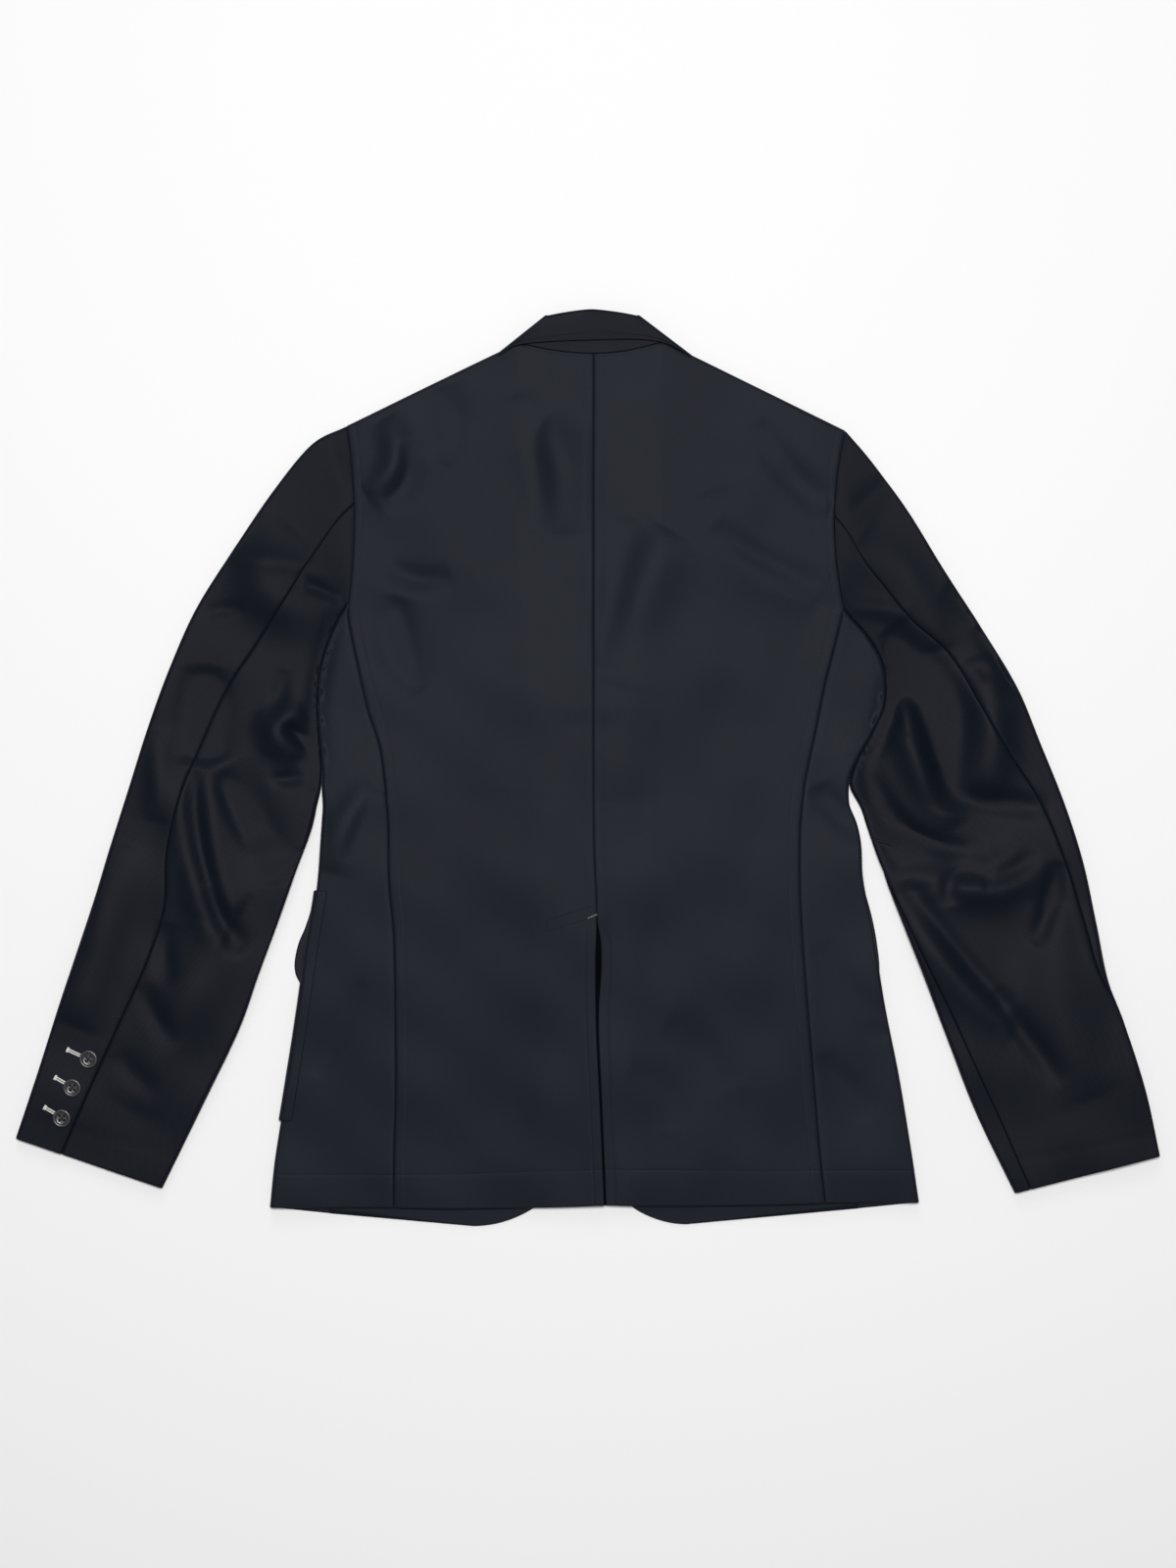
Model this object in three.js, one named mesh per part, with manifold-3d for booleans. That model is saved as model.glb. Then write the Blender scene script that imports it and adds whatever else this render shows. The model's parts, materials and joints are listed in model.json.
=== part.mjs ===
// A single-breasted sport coat, laid flat on its front with the back up.
// Millimetres. +X is to the right as the back is seen, +Y runs up to the collar, +Z is up from the surface.
import * as THREE from 'three';
import { mergeVertices } from 'three/addons/utils/BufferGeometryUtils.js';
import Module from 'manifold-3d';

// Cloth and how it lies
const CLOTH = 1.6;
const HALF = CLOTH / 2;
const SEAM_GAP = 0.3;
const LAYER = 2.1;
const BACK_RISE = 6.0;
const SHOW_THROUGH = 0.6;
const LEAST_STACK = 2.2;

// Shoulders, neck and hem
const NECK_CENTRE_Y = 338.3;
const NECK_LEFT = { x: -57, y: 347.5 };
const NECK_RIGHT = { x: 62, y: 348.5 };
const HEM_SAG = 1.6;
const CENTRE_HEM_Y = -357;

// Fronts: how far each edge stands from the middle, and the curve of its lower corner
const FRONT_BREAK_Y = -230;
const FRONT_LEFT_HEM = { x: -93, y: -374.5 };
const FRONT_RIGHT_HEM = { x: 80, y: -373 };
const LAP_LEFT_X = 18;
const LAP_RIGHT_X = -20;

// Buttons
const BUTTON_RADIUS = 7.5;
const BUTTON_HEIGHT = 3.2;
const BUTTON_HOLE_RADIUS = 0.95;
const BUTTON_HOLE_SPREAD = 1.9;
const LEFT_CUFF_BUTTONS = [
  { x: -407.5, y: -237.5 },
  { x: -420.8, y: -260.9 },
  { x: -429.3, y: -285.7 },
];
const UNDERSIDE_BUTTONS = [
  { name: 'front_button_1', x: -1, y: 16, radius: 10 },
  { name: 'front_button_2', x: -1, y: -68, radius: 10 },
  { name: 'right_cuff_button_1', x: 433.5, y: -228, radius: BUTTON_RADIUS },
  { name: 'right_cuff_button_2', x: 439.5, y: -253.5, radius: BUTTON_RADIUS },
  { name: 'right_cuff_button_3', x: 445.5, y: -279, radius: BUTTON_RADIUS },
];
const UNDERSIDE_BUTTON_HEIGHT = 2.8;

// Centre back: the seam down to the vent, then the vent's edge
const CENTRE_BACK = [
  { y: 339, x: 4.8 },
  { y: 60, x: 4.6 },
  { y: -60, x: 5.2 },
  { y: -120, x: 7.4 },
  { y: -160, x: 6.4 },
  { y: -215, x: 7.2 },
  { y: -270, x: 9.8 },
  { y: -357, x: 13.5 },
];
const VENT_TOP_Y = -120;

// Side bodies: seam to the back, folded outer edge, and seam to the front on the underside
const LEFT_SIDE = [
  { y: 131, back: -196.2, edge: -198, front: -196.2 },
  { y: 120, back: -195.2, edge: -204, front: -190 },
  { y: 104, back: -192, edge: -210.5, front: -182 },
  { y: 88, back: -188.6, edge: -215.8, front: -176 },
  { y: 70, back: -184.8, edge: -218.6, front: -172 },
  { y: 45, back: -178.8, edge: -219.3, front: -171 },
  { y: 20, back: -170.5, edge: -217.3, front: -170 },
  { y: -5, back: -166.4, edge: -215.4, front: -169 },
  { y: -45, back: -163, edge: -217.4, front: -170 },
  { y: -95, back: -162, edge: -221, front: -174 },
  { y: -140, back: -158, edge: -228, front: -180 },
  { y: -200, back: -157, edge: -236.5, front: -188 },
  { y: -260, back: -156.6, edge: -246, front: -197 },
  { y: -320, back: -158.2, edge: -255.6, front: -206 },
  { y: -359, back: -158.4, edge: -259.8, front: -211 },
];
const RIGHT_SIDE = [
  { y: 127, back: 208.2, edge: 210.2, front: 208.2 },
  { y: 117, back: 206, edge: 217.5, front: 202 },
  { y: 104, back: 202.6, edge: 228, front: 195 },
  { y: 88, back: 198.5, edge: 237.5, front: 190 },
  { y: 70, back: 194, edge: 241, front: 187 },
  { y: 48, back: 189.6, edge: 239.8, front: 186 },
  { y: 30, back: 186, edge: 230.5, front: 184 },
  { y: 12, back: 182, edge: 219, front: 178 },
  { y: -12, back: 177.4, edge: 209.4, front: 170 },
  { y: -28, back: 175.4, edge: 213, front: 168 },
  { y: -45, back: 173.6, edge: 220, front: 170 },
  { y: -61, back: 173, edge: 223.2, front: 173 },
  { y: -90, back: 173, edge: 224.8, front: 178 },
  { y: -130, back: 174.6, edge: 232.6, front: 184 },
  { y: -190, back: 179, edge: 242, front: 193 },
  { y: -250, back: 184, edge: 254, front: 204 },
  { y: -310, back: 189, edge: 264, front: 214 },
  { y: -355, back: 194, edge: 270.8, front: 221 },
];

// Sleeves: outer and inner edge of each section from the armhole to the cuff, the share of the
// width at which the elbow seam crosses the upper side, the way from the inner edge round to the
// front seam (less than nothing where it shows on the upper side), and the bow of the section
const LEFT_SLEEVE = [
  { ox: -197.4, oy: 279.6, ix: -195.8, iy: 134.3, elbow: 0.44, front: 24, bow: 5.5 },
  { ox: -225.4, oy: 264.7, ix: -202.6, iy: 126, elbow: 0.53, front: 24, bow: 0 },
  { ox: -256.6, oy: 227.1, ix: -210, iy: 112, elbow: 0.54, front: 24, bow: 0 },
  { ox: -289.4, oy: 179.1, ix: -217.6, iy: 91, elbow: 0.53, front: 24, bow: 0 },
  { ox: -319.8, oy: 131.1, ix: -222, iy: 65, elbow: 0.48, front: 24, bow: 0 },
  { ox: -341.4, oy: 83.1, ix: -222, iy: 34, elbow: 0.38, front: 24, bow: 0 },
  { ox: -359, oy: 35.1, ix: -219.4, iy: -6, elbow: 0.31, front: 24, bow: 0 },
  { ox: -374.2, oy: -12.9, ix: -224, iy: -44, elbow: 0.275, front: 24, bow: 0 },
  { ox: -389.4, oy: -60.9, ix: -238.2, iy: -84.1, elbow: 0.3, front: 22, bow: 0 },
  { ox: -403.8, oy: -108.9, ix: -252.6, iy: -124.9, elbow: 0.38, front: 20, bow: 0 },
  { ox: -419.8, oy: -156.9, ix: -268.6, iy: -168.1, elbow: 0.384, front: 18, bow: 0 },
  { ox: -435.8, oy: -204.9, ix: -284.6, iy: -212.9, elbow: 0.351, front: 16, bow: 0 },
  { ox: -451, oy: -252.9, ix: -311.8, iy: -269.7, elbow: 0.325, front: 15, bow: 0 },
  { ox: -467.6, oy: -302.5, ix: -347.8, iy: -343.3, elbow: 0.31, front: 14, bow: 0 },
];
const RIGHT_SLEEVE = [
  { ox: 210.6, oy: 275.7, ix: 209.5, iy: 130, elbow: 0.48, front: 24, bow: -8.5 },
  { ox: 231.4, oy: 251.1, ix: 216, iy: 123.5, elbow: 0.585, front: 24, bow: 0 },
  { ox: 261, oy: 211.1, ix: 230.5, iy: 108.5, elbow: 0.6, front: 24, bow: 0 },
  { ox: 290.6, oy: 163.1, ix: 243.5, iy: 84, elbow: 0.53, front: 24, bow: 0 },
  { ox: 321.8, oy: 115.1, ix: 245, iy: 55, elbow: 0.34, front: 22, bow: 0 },
  { ox: 350.6, oy: 67.1, ix: 234.5, iy: 27, elbow: 0.27, front: 20, bow: 0 },
  { ox: 370.6, oy: 19.1, ix: 218.6, iy: -9, elbow: 0.175, front: 14, bow: 0 },
  { ox: 389.8, oy: -28.9, ix: 226, iy: -41, elbow: 0.11, front: 6, bow: 0 },
  { ox: 405, oy: -76.9, ix: 241, iy: -85, elbow: 0.085, front: 0, bow: 0 },
  { ox: 415.4, oy: -124.9, ix: 257, iy: -126.5, elbow: 0.06, front: -4, bow: 0 },
  { ox: 425, oy: -172.9, ix: 275.4, iy: -172.9, elbow: 0.04, front: -9, bow: 0 },
  { ox: 438.6, oy: -208.9, ix: 293, iy: -219.3, elbow: 0.035, front: -13, bow: 0 },
  { ox: 456.2, oy: -264.9, ix: 317, iy: -280.9, elbow: 0.035, front: -17, bow: 0 },
  { ox: 467.6, oy: -316.9, ix: 349, iy: -347.3, elbow: 0.035, front: -14, bow: 0 },
];

// Largest folds: each follows a bow from (x1, y1) past (x2, y2) to (x3, y3); rise is below nothing
// in a trough
const FOLDS = [
  { x1: -166, y1: 285, x2: -156, y2: 250, x3: -180, y3: 222, width: 12, rise: 3.5 },
  { x1: -145, y1: 268, x2: -148, y2: 235, x3: -166, y3: 216, width: 11, rise: -2 },
  { x1: -40, y1: 278, x2: -26, y2: 250, x3: -18, y3: 190, width: 20, rise: 2.5 },
  { x1: 100, y1: 228, x2: 130, y2: 180, x3: 190, y3: 140, width: 22, rise: 2.5 },
  { x1: 64, y1: 196, x2: 46, y2: 150, x3: 24, y3: 66, width: 24, rise: 2.5 },
  { x1: -154, y1: 140, x2: -156, y2: 100, x3: -136, y3: 62, width: 16, rise: -2 },
  { x1: -172, y1: -14, x2: -196, y2: -44, x3: -212, y3: -84, width: 14, rise: 3 },
  { x1: -240, y1: 196, x2: -262, y2: 150, x3: -214, y3: 122, width: 22, rise: 3.5 },
  { x1: -232, y1: 46, x2: -256, y2: 32, x3: -236, y3: 8, width: 12, rise: 5 },
  { x1: -312, y1: 78, x2: -316, y2: 40, x3: -306, y3: 2, width: 18, rise: -2.4 },
  { x1: -322, y1: 10, x2: -312, y2: -90, x3: -288, y3: -130, width: 20, rise: 4.5 },
  { x1: -290, y1: 6, x2: -268, y2: -50, x3: -258, y3: -96, width: 16, rise: -2.2 },
  { x1: -380, y1: -60, x2: -400, y2: -150, x3: -420, y3: -210, width: 20, rise: 3 },
  { x1: -300, y1: -130, x2: -330, y2: -200, x3: -370, y3: -280, width: 24, rise: 2.5 },
  { x1: 224, y1: 190, x2: 262, y2: 150, x3: 282, y3: 96, width: 20, rise: 3.5 },
  { x1: 246, y1: 116, x2: 292, y2: 50, x3: 294, y3: -36, width: 16, rise: -2.6 },
  { x1: 262, y1: 60, x2: 268, y2: 10, x3: 300, y3: -48, width: 15, rise: 5 },
  { x1: 318, y1: 92, x2: 330, y2: 30, x3: 322, y3: -30, width: 18, rise: 4.5 },
  { x1: 230, y1: 4, x2: 260, y2: -70, x3: 326, y3: -64, width: 13, rise: -2.4 },
  { x1: 262, y1: -72, x2: 320, y2: -96, x3: 366, y3: -66, width: 18, rise: 4 },
  { x1: 270, y1: -100, x2: 300, y2: -170, x3: 350, y3: -210, width: 18, rise: 3 },
  { x1: 380, y1: -110, x2: 384, y2: -190, x3: 410, y3: -270, width: 24, rise: 2.5 },
];

// What lies under the fronts and lifts them, each as its corners in turn
const COLLAR_LEAF_LEFT = [[-37, 372], [-76, 341], [-110, 288], [-46, 310]];
const COLLAR_LEAF_RIGHT = [[44, 372], [87, 340], [118, 286], [52, 310]];
const LAPEL_LEFT = [[-46, 307], [-120, 272], [-9, 76]];
const LAPEL_RIGHT = [[53, 307], [128, 270], [13, 76]];
const POCKET_LEFT = { top: -100, foot: -288, inner: -96, wrap: 8, outer: 0 };
const POCKET_RIGHT = { top: -100, foot: -288, inner: 104, wrap: 0, outer: 7 };
const FLAP_TOP_Y = -98;
const FLAP_FOOT_Y = -177;
const FLAP_LEFT = [
  { y: -98, outer: -221, inner: -90 },
  { y: -115, outer: -226.2, inner: -89 },
  { y: -131, outer: -231.5, inner: -88.5 },
  { y: -143, outer: -236.6, inner: -88 },
  { y: -158, outer: -239.8, inner: -88 },
  { y: -168, outer: -239.2, inner: -90 },
  { y: -177, outer: -235, inner: -96 },
];
const FLAP_RIGHT = [
  { y: -98, outer: 226, inner: 98 },
  { y: -122, outer: 232.6, inner: 97 },
  { y: -146, outer: 237, inner: 96.5 },
  { y: -168, outer: 238.5, inner: 98 },
  { y: -177, outer: 234, inner: 104 },
];
const oblong = (left, right, top, foot) => [[left, top], [right, top], [right, foot], [left, foot]];
const COLLAR_AND_LAPELS = [COLLAR_LEAF_LEFT, COLLAR_LEAF_RIGHT, LAPEL_LEFT, LAPEL_RIGHT];
const POCKETS = [oblong(-262, -96, -100, -288), oblong(104, 264, -100, -288)];
const FLAPS = [oblong(-240, -88, -98, -177), oblong(97, 239, -98, -177)];
const BUTTON_SPOTS = UNDERSIDE_BUTTONS.map(
  ({ x, y, radius }) => oblong(x - radius, x + radius, y + radius, y - radius),
);
const BUTTON_LAYERS = 1.5;
const PAD_MARGIN = 26;
const PAD_RAMP = 30;

const cloth = () => new THREE.MeshStandardMaterial({ color: 0x22272f, roughness: 0.86, metalness: 0 });
const horn = () => new THREE.MeshStandardMaterial({ color: 0x0b0b0d, roughness: 0.22, metalness: 0 });

const mix = (a, b, t) => a + (b - a) * t;
const mixPoint = (a, b, t) => [mix(a[0], b[0], t), mix(a[1], b[1], t)];
const ease = (t) => THREE.MathUtils.smoothstep(t, 0, 1);
const spread = (count) => Array.from({ length: count + 1 }, (_, i) => i / count);

// A table's column at one value of its key: a cubic through the rows, with slopes from their neighbours.
function read(rows, key, column, value) {
  const down = rows[0][key] > rows[rows.length - 1][key];
  const keyed = down ? [...rows].reverse() : rows;
  const last = keyed.length - 1;
  const inside = THREE.MathUtils.clamp(value, keyed[0][key], keyed[last][key]);
  const found = keyed.findIndex((row) => row[key] >= inside);
  const i = Math.max(found, 1) - 1;
  const slope = (k) => {
    const before = keyed[Math.max(k - 1, 0)];
    const after = keyed[Math.min(k + 1, last)];
    return (after[column] - before[column]) / (after[key] - before[key]);
  };
  const span = keyed[i + 1][key] - keyed[i][key];
  const t = (inside - keyed[i][key]) / span;
  const bend = slope(i) * span * t * (1 - t) ** 2 - slope(i + 1) * span * t * t * (1 - t);
  return mix(keyed[i][column], keyed[i + 1][column], ease(t)) + bend;
}

// Distance from a point to a run of points, with the share of the run at the nearest place.
function nearest(points, x, y) {
  let best = { distance: Infinity, share: 0 };
  for (let i = 0; i + 1 < points.length; i += 1) {
    const [ax, ay] = points[i];
    const [bx, by] = points[i + 1];
    const length = (bx - ax) ** 2 + (by - ay) ** 2;
    const t = THREE.MathUtils.clamp(((x - ax) * (bx - ax) + (y - ay) * (by - ay)) / length, 0, 1);
    const distance = Math.hypot(x - mix(ax, bx, t), y - mix(ay, by, t));
    if (distance < best.distance) best = { distance, share: (i + t) / (points.length - 1) };
  }
  return best;
}

// Height of all folds at a point: each a soft bell across its bow, fading to both ends.
const FOLD_STEPS = 8;
const pastMiddle = (from, middle, to) => 2 * middle - (from + to) / 2;
const foldRuns = FOLDS.map((fold) => {
  const start = new THREE.Vector2(fold.x1, fold.y1);
  const bow = new THREE.Vector2(
    pastMiddle(fold.x1, fold.x2, fold.x3),
    pastMiddle(fold.y1, fold.y2, fold.y3),
  );
  const end = new THREE.Vector2(fold.x3, fold.y3);
  const run = new THREE.QuadraticBezierCurve(start, bow, end).getPoints(FOLD_STEPS);
  return { ...fold, points: run.map((p) => [p.x, p.y]) };
});
function foldRise(x, y) {
  return foldRuns.reduce((sum, fold) => {
    const { distance, share } = nearest(fold.points, x, y);
    const fade = Math.sin(Math.PI * THREE.MathUtils.clamp(share, 0.001, 0.999)) ** 0.6;
    return sum + fold.rise * fade * Math.exp(-((distance / fold.width) ** 2));
  }, 0);
}

// Share of a pad's layers that the cloth over it feels: all of it above the pad, then a soft ramp out.
function padShare(corners, x, y) {
  const ring = [...corners, corners[0]];
  const crossings = corners.filter((corner, i) => {
    const [ax, ay] = corner;
    const [bx, by] = ring[i + 1];
    return (ay > y) !== (by > y) && x < mix(ax, bx, (y - ay) / (by - ay));
  });
  const away = crossings.length % 2 === 1 ? 0 : nearest(ring, x, y).distance;
  return 1 - ease((away - PAD_MARGIN) / PAD_RAMP);
}

// Middle of the cloth on the underside, raised by what lies below it.
function underHeight(x, y) {
  const most = (pads) => Math.max(...pads.map((corners) => padShare(corners, x, y)));
  const layers = most(COLLAR_AND_LAPELS) + most(POCKETS) + most(FLAPS) + BUTTON_LAYERS * most(BUTTON_SPOTS);
  return HALF + LAYER * layers;
}

// Share of the lap's lift: full between the front edges, then a soft ramp out to either side.
const LAP_MARGIN = 12;
const LAP_RAMP = 30;
const LAP_TOP_Y = 90;
function lapShare(x) {
  return 1 - ease((x - LAP_LEFT_X - LAP_MARGIN) / LAP_RAMP);
}

// Middle of the cloth on the upper side, over the fronts and their lap, with its folds.
function topHeight(x, y) {
  const lap = lapShare(x) * lapShare(-x) * ease((LAP_TOP_Y - y) / LAP_RAMP);
  const under = underHeight(x, y) + LAYER * lap;
  const free = BACK_RISE + SHOW_THROUGH * (under - HALF) + foldRise(x, y);
  return Math.max(free, under + LEAST_STACK);
}

// A wall of cloth: a grid of places, each with its way out, given half its thickness to both sides.
function wall(name, grid, material = cloth()) {
  const rows = grid.length;
  const columns = grid[0].length;
  const outer = (i, j) => i * columns + j;
  const inner = (i, j) => rows * columns + i * columns + j;
  const positions = [];
  for (const side of [HALF, -HALF]) {
    for (const place of grid.flat()) {
      positions.push(...place.at.clone().addScaledVector(place.out, side).toArray());
    }
  }
  const faces = [];
  const quad = (a, b, c, d) => faces.push(a, b, c, a, c, d);
  for (let i = 0; i + 1 < rows; i += 1) {
    for (let j = 0; j + 1 < columns; j += 1) {
      quad(outer(i, j), outer(i + 1, j), outer(i + 1, j + 1), outer(i, j + 1));
      quad(inner(i, j), inner(i, j + 1), inner(i + 1, j + 1), inner(i + 1, j));
    }
  }
  for (let j = 0; j + 1 < columns; j += 1) {
    quad(outer(0, j), outer(0, j + 1), inner(0, j + 1), inner(0, j));
    quad(outer(rows - 1, j + 1), outer(rows - 1, j), inner(rows - 1, j), inner(rows - 1, j + 1));
  }
  for (let i = 0; i + 1 < rows; i += 1) {
    quad(outer(i + 1, 0), outer(i, 0), inner(i, 0), inner(i + 1, 0));
    const last = columns - 1;
    quad(outer(i, last), outer(i + 1, last), inner(i + 1, last), inner(i, last));
  }
  const geometry = new THREE.BufferGeometry();
  geometry.setAttribute('position', new THREE.Float32BufferAttribute(positions, 3));
  geometry.setIndex(volumeOf(positions, faces) > 0 ? faces : faces.reverse());
  geometry.computeVertexNormals();
  const mesh = new THREE.Mesh(geometry, material);
  mesh.name = name;
  return mesh;
}

// Six times the space inside a closed set of faces, below nothing when they point inwards.
function volumeOf(positions, faces) {
  const corner = (index) => new THREE.Vector3().fromArray(positions, index * 3);
  let sum = 0;
  for (let i = 0; i < faces.length; i += 3) {
    sum += corner(faces[i]).dot(corner(faces[i + 1]).cross(corner(faces[i + 2])));
  }
  return sum;
}

const place = (x, y, z, out) => ({ at: new THREE.Vector3(x, y, z), out: out.clone().normalize() });
const UP = new THREE.Vector3(0, 0, 1);
const DOWN = new THREE.Vector3(0, 0, -1);

// One section of a flattened tube of cloth between two outer edges of its outline. The way round
// it is measured in millimetres from the first edge: over the upper side first, or, below nothing,
// over the underside. Each fold takes its height from the layers a little way in from its edge.
const FOLD_INSET = 3;
function section(from, to, bow = 0) {
  const way = new THREE.Vector3(to[0] - from[0], to[1] - from[1], 0);
  const width = way.length() - CLOTH;
  way.normalize();
  const start = new THREE.Vector3(from[0], from[1], 0).addScaledVector(way, HALF);
  const plan = (distance) => {
    const share = distance / width;
    const point = start.clone().addScaledVector(way, distance);
    point.x += bow * 4 * share * (1 - share);
    return point;
  };
  const foldAt = (distance) => {
    const point = plan(distance);
    const top = topHeight(point.x, point.y);
    const under = underHeight(point.x, point.y);
    return { radius: (top - under) / 2, middle: (top + under) / 2 };
  };
  const first = foldAt(FOLD_INSET);
  const second = foldAt(width - FOLD_INSET);
  const firstArc = (Math.PI / 2) * first.radius;
  const secondArc = (Math.PI / 2) * second.radius;
  const flat = width - first.radius - second.radius;
  const half = firstArc + flat + secondArc;

  function at(round) {
    const wrapped = round > half ? round - 2 * half : round < -half ? round + 2 * half : round;
    const side = wrapped >= 0 ? 1 : -1;
    const run = Math.abs(wrapped);
    if (run < firstArc) {
      const angle = run / first.radius;
      const point = plan(first.radius * (1 - Math.cos(angle)));
      const z = first.middle + side * first.radius * Math.sin(angle);
      const out = way.clone().multiplyScalar(-Math.cos(angle)).addScaledVector(UP, side * Math.sin(angle));
      return place(point.x, point.y, z, out);
    }
    if (run > firstArc + flat) {
      const angle = Math.max(half - run, 0) / second.radius;
      const point = plan(width - second.radius * (1 - Math.cos(angle)));
      const z = second.middle + side * second.radius * Math.sin(angle);
      const out = way.clone().multiplyScalar(Math.cos(angle)).addScaledVector(UP, side * Math.sin(angle));
      return place(point.x, point.y, z, out);
    }
    const point = plan(first.radius + run - firstArc);
    const z = side > 0 ? topHeight(point.x, point.y) : underHeight(point.x, point.y);
    return place(point.x, point.y, z, side > 0 ? UP : DOWN);
  }

  // The way round to a given distance across, and the amount of bending up to a place.
  const roundTo = (distance) => Math.max(distance, first.radius) - first.radius + firstArc;
  const turn = (round) => {
    const run = Math.abs(round);
    const early = Math.min(run, firstArc) / first.radius;
    const late = THREE.MathUtils.clamp(run - firstArc - flat, 0, 2 * secondArc) / second.radius;
    return Math.sign(round) * (early + late);
  };
  return { at, half, width, roundTo, turn };
}

// Places along a section from one way round to another, closer together where the cloth folds.
const PLAIN_STEP = 30;
const FOLD_TURN = Math.PI / 4;
function places(loop, from, to, count) {
  const measure = (round) => round / PLAIN_STEP + loop.turn(round) / FOLD_TURN;
  return spread(count).map((share) => {
    const wanted = mix(measure(from), measure(to), share);
    let low = from;
    let high = to;
    for (let step = 0; step < 40; step += 1) {
      const middle = (low + high) / 2;
      if (measure(middle) < wanted) low = middle;
      else high = middle;
    }
    return loop.at(share === 0 ? from : share === 1 ? to : (low + high) / 2);
  });
}

// Where an armhole runs: the sleeve's first section.
function armholeX(stations, y) {
  const { ox, oy, ix, iy, bow } = stations[0];
  const share = THREE.MathUtils.clamp((oy - HALF - y) / (oy - iy - CLOTH), 0, 1);
  return mix(ox, ix, share) + bow * 4 * share * (1 - share);
}

// Outline of the shoulders and the back of the neck.
function shoulderY(x) {
  const left = LEFT_SLEEVE[0];
  const right = RIGHT_SLEEVE[0];
  const centre = read(CENTRE_BACK, 'y', 'x', NECK_CENTRE_Y);
  if (x < NECK_LEFT.x) return mix(NECK_LEFT.y, left.oy, (NECK_LEFT.x - x) / (NECK_LEFT.x - left.ox));
  if (x > NECK_RIGHT.x) return mix(NECK_RIGHT.y, right.oy, (x - NECK_RIGHT.x) / (right.ox - NECK_RIGHT.x));
  const neck = x < centre ? NECK_LEFT : NECK_RIGHT;
  return mix(NECK_CENTRE_Y, neck.y, ((x - centre) / (neck.x - centre)) ** 2);
}

// Places over the rolled shoulder edge, from its seam at half height up (or down) to the flat cloth.
const SHOULDER_ANGLES = [0, 30, 60];
const NECK_STEP = 3;
const SHOULDER_INSET = 4;
function shoulderRow(x, angle, up, onShoulder) {
  const edge = shoulderY(x);
  const top = topHeight(x, edge - SHOULDER_INSET);
  const under = underHeight(x, edge - SHOULDER_INSET);
  const radius = (top - under) / 2;
  const turn = THREE.MathUtils.degToRad(angle);
  const inset = HALF + radius * (1 - Math.cos(turn));
  const y = edge - mix((NECK_STEP * angle) / 90, inset, onShoulder);
  const lift = radius * (1 - Math.sin(turn)) - (angle === 0 ? SEAM_GAP / 2 : 0);
  const z = up ? top - onShoulder * lift : under + onShoulder * lift;
  const out = new THREE.Vector3(0, onShoulder * Math.cos(turn), mix(1, Math.sin(turn), onShoulder));
  if (!up) out.z *= -1;
  return { y, z, out };
}

// Rows shared by the panels of the body, so that their seams run point by point: from the shoulder
// to the top of the side body, then down to the hem.
const ARM_ROWS = 6;
const SIDE_ROWS = 18;
const SIDE_TOP = 6;
const BODY_ROWS = ARM_ROWS + SIDE_ROWS;
function lateralY(tipY, side, row) {
  const head = side[0].y - SIDE_TOP;
  const foot = side[side.length - 1].y;
  if (row <= ARM_ROWS) return mix(tipY, head, row / ARM_ROWS);
  return mix(head, foot, (row - ARM_ROWS) / SIDE_ROWS);
}

// How far a row of the front lies below the same row of the back.
const HEM_DROP = 5;
function frontDrop(row) {
  return HEM_DROP * Math.max(0, (row - ARM_ROWS) / SIDE_ROWS) ** 2;
}

// A back panel: centre seam to armhole and side-back seam, neck and shoulder to hem.
const BACK_COLUMNS = 10;
const NECK_MIDDLE_X = 4;
const NECK_FLAT = 50;
const NECK_TURN = 14;
function backPanel(name, sleeve, side, seamSign) {
  const underarm = side[0].y;
  const gap = (seamSign * SEAM_GAP) / 2;
  const outerX = (y) => (y > underarm ? armholeX(sleeve, y) : read(side, 'y', 'back', y)) - gap;
  const innerX = (y) => read(CENTRE_BACK, 'y', 'x', y) + gap;
  const tipX = outerX(sleeve[0].oy);
  const tipY = shoulderRow(tipX, 90, true, 1).y;
  const grid = [];
  const column = (u, row) => {
    const v = row / BODY_ROWS;
    const topX = mix(innerX(NECK_CENTRE_Y), tipX, u);
    const onShoulder = ease((Math.abs(topX - NECK_MIDDLE_X) - NECK_FLAT) / NECK_TURN);
    const start = shoulderRow(topX, 90, true, onShoulder).y;
    const straightTop = mix(NECK_CENTRE_Y, tipY, u);
    const innerY = mix(NECK_CENTRE_Y, CENTRE_HEM_Y, v);
    const outerY = lateralY(tipY, side, row);
    const sag = HEM_SAG * 4 * u * (1 - u) * v;
    const y = mix(innerY, outerY, u) + (1 - v) * (start - straightTop) - sag;
    return [mix(innerX(innerY), outerX(outerY), u), y, topX, onShoulder];
  };
  for (const angle of SHOULDER_ANGLES) {
    grid.push(spread(BACK_COLUMNS).map((u) => {
      const [, , topX, onShoulder] = column(u, 0);
      const row = shoulderRow(topX, angle, true, onShoulder);
      return place(topX, row.y, row.z, row.out);
    }));
  }
  for (let row = 0; row <= BODY_ROWS; row += 1) {
    grid.push(spread(BACK_COLUMNS).map((u) => {
      const [x, y] = column(u, row);
      return place(x, y, topHeight(x, y), UP);
    }));
  }
  return wall(name, grid);
}

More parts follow.
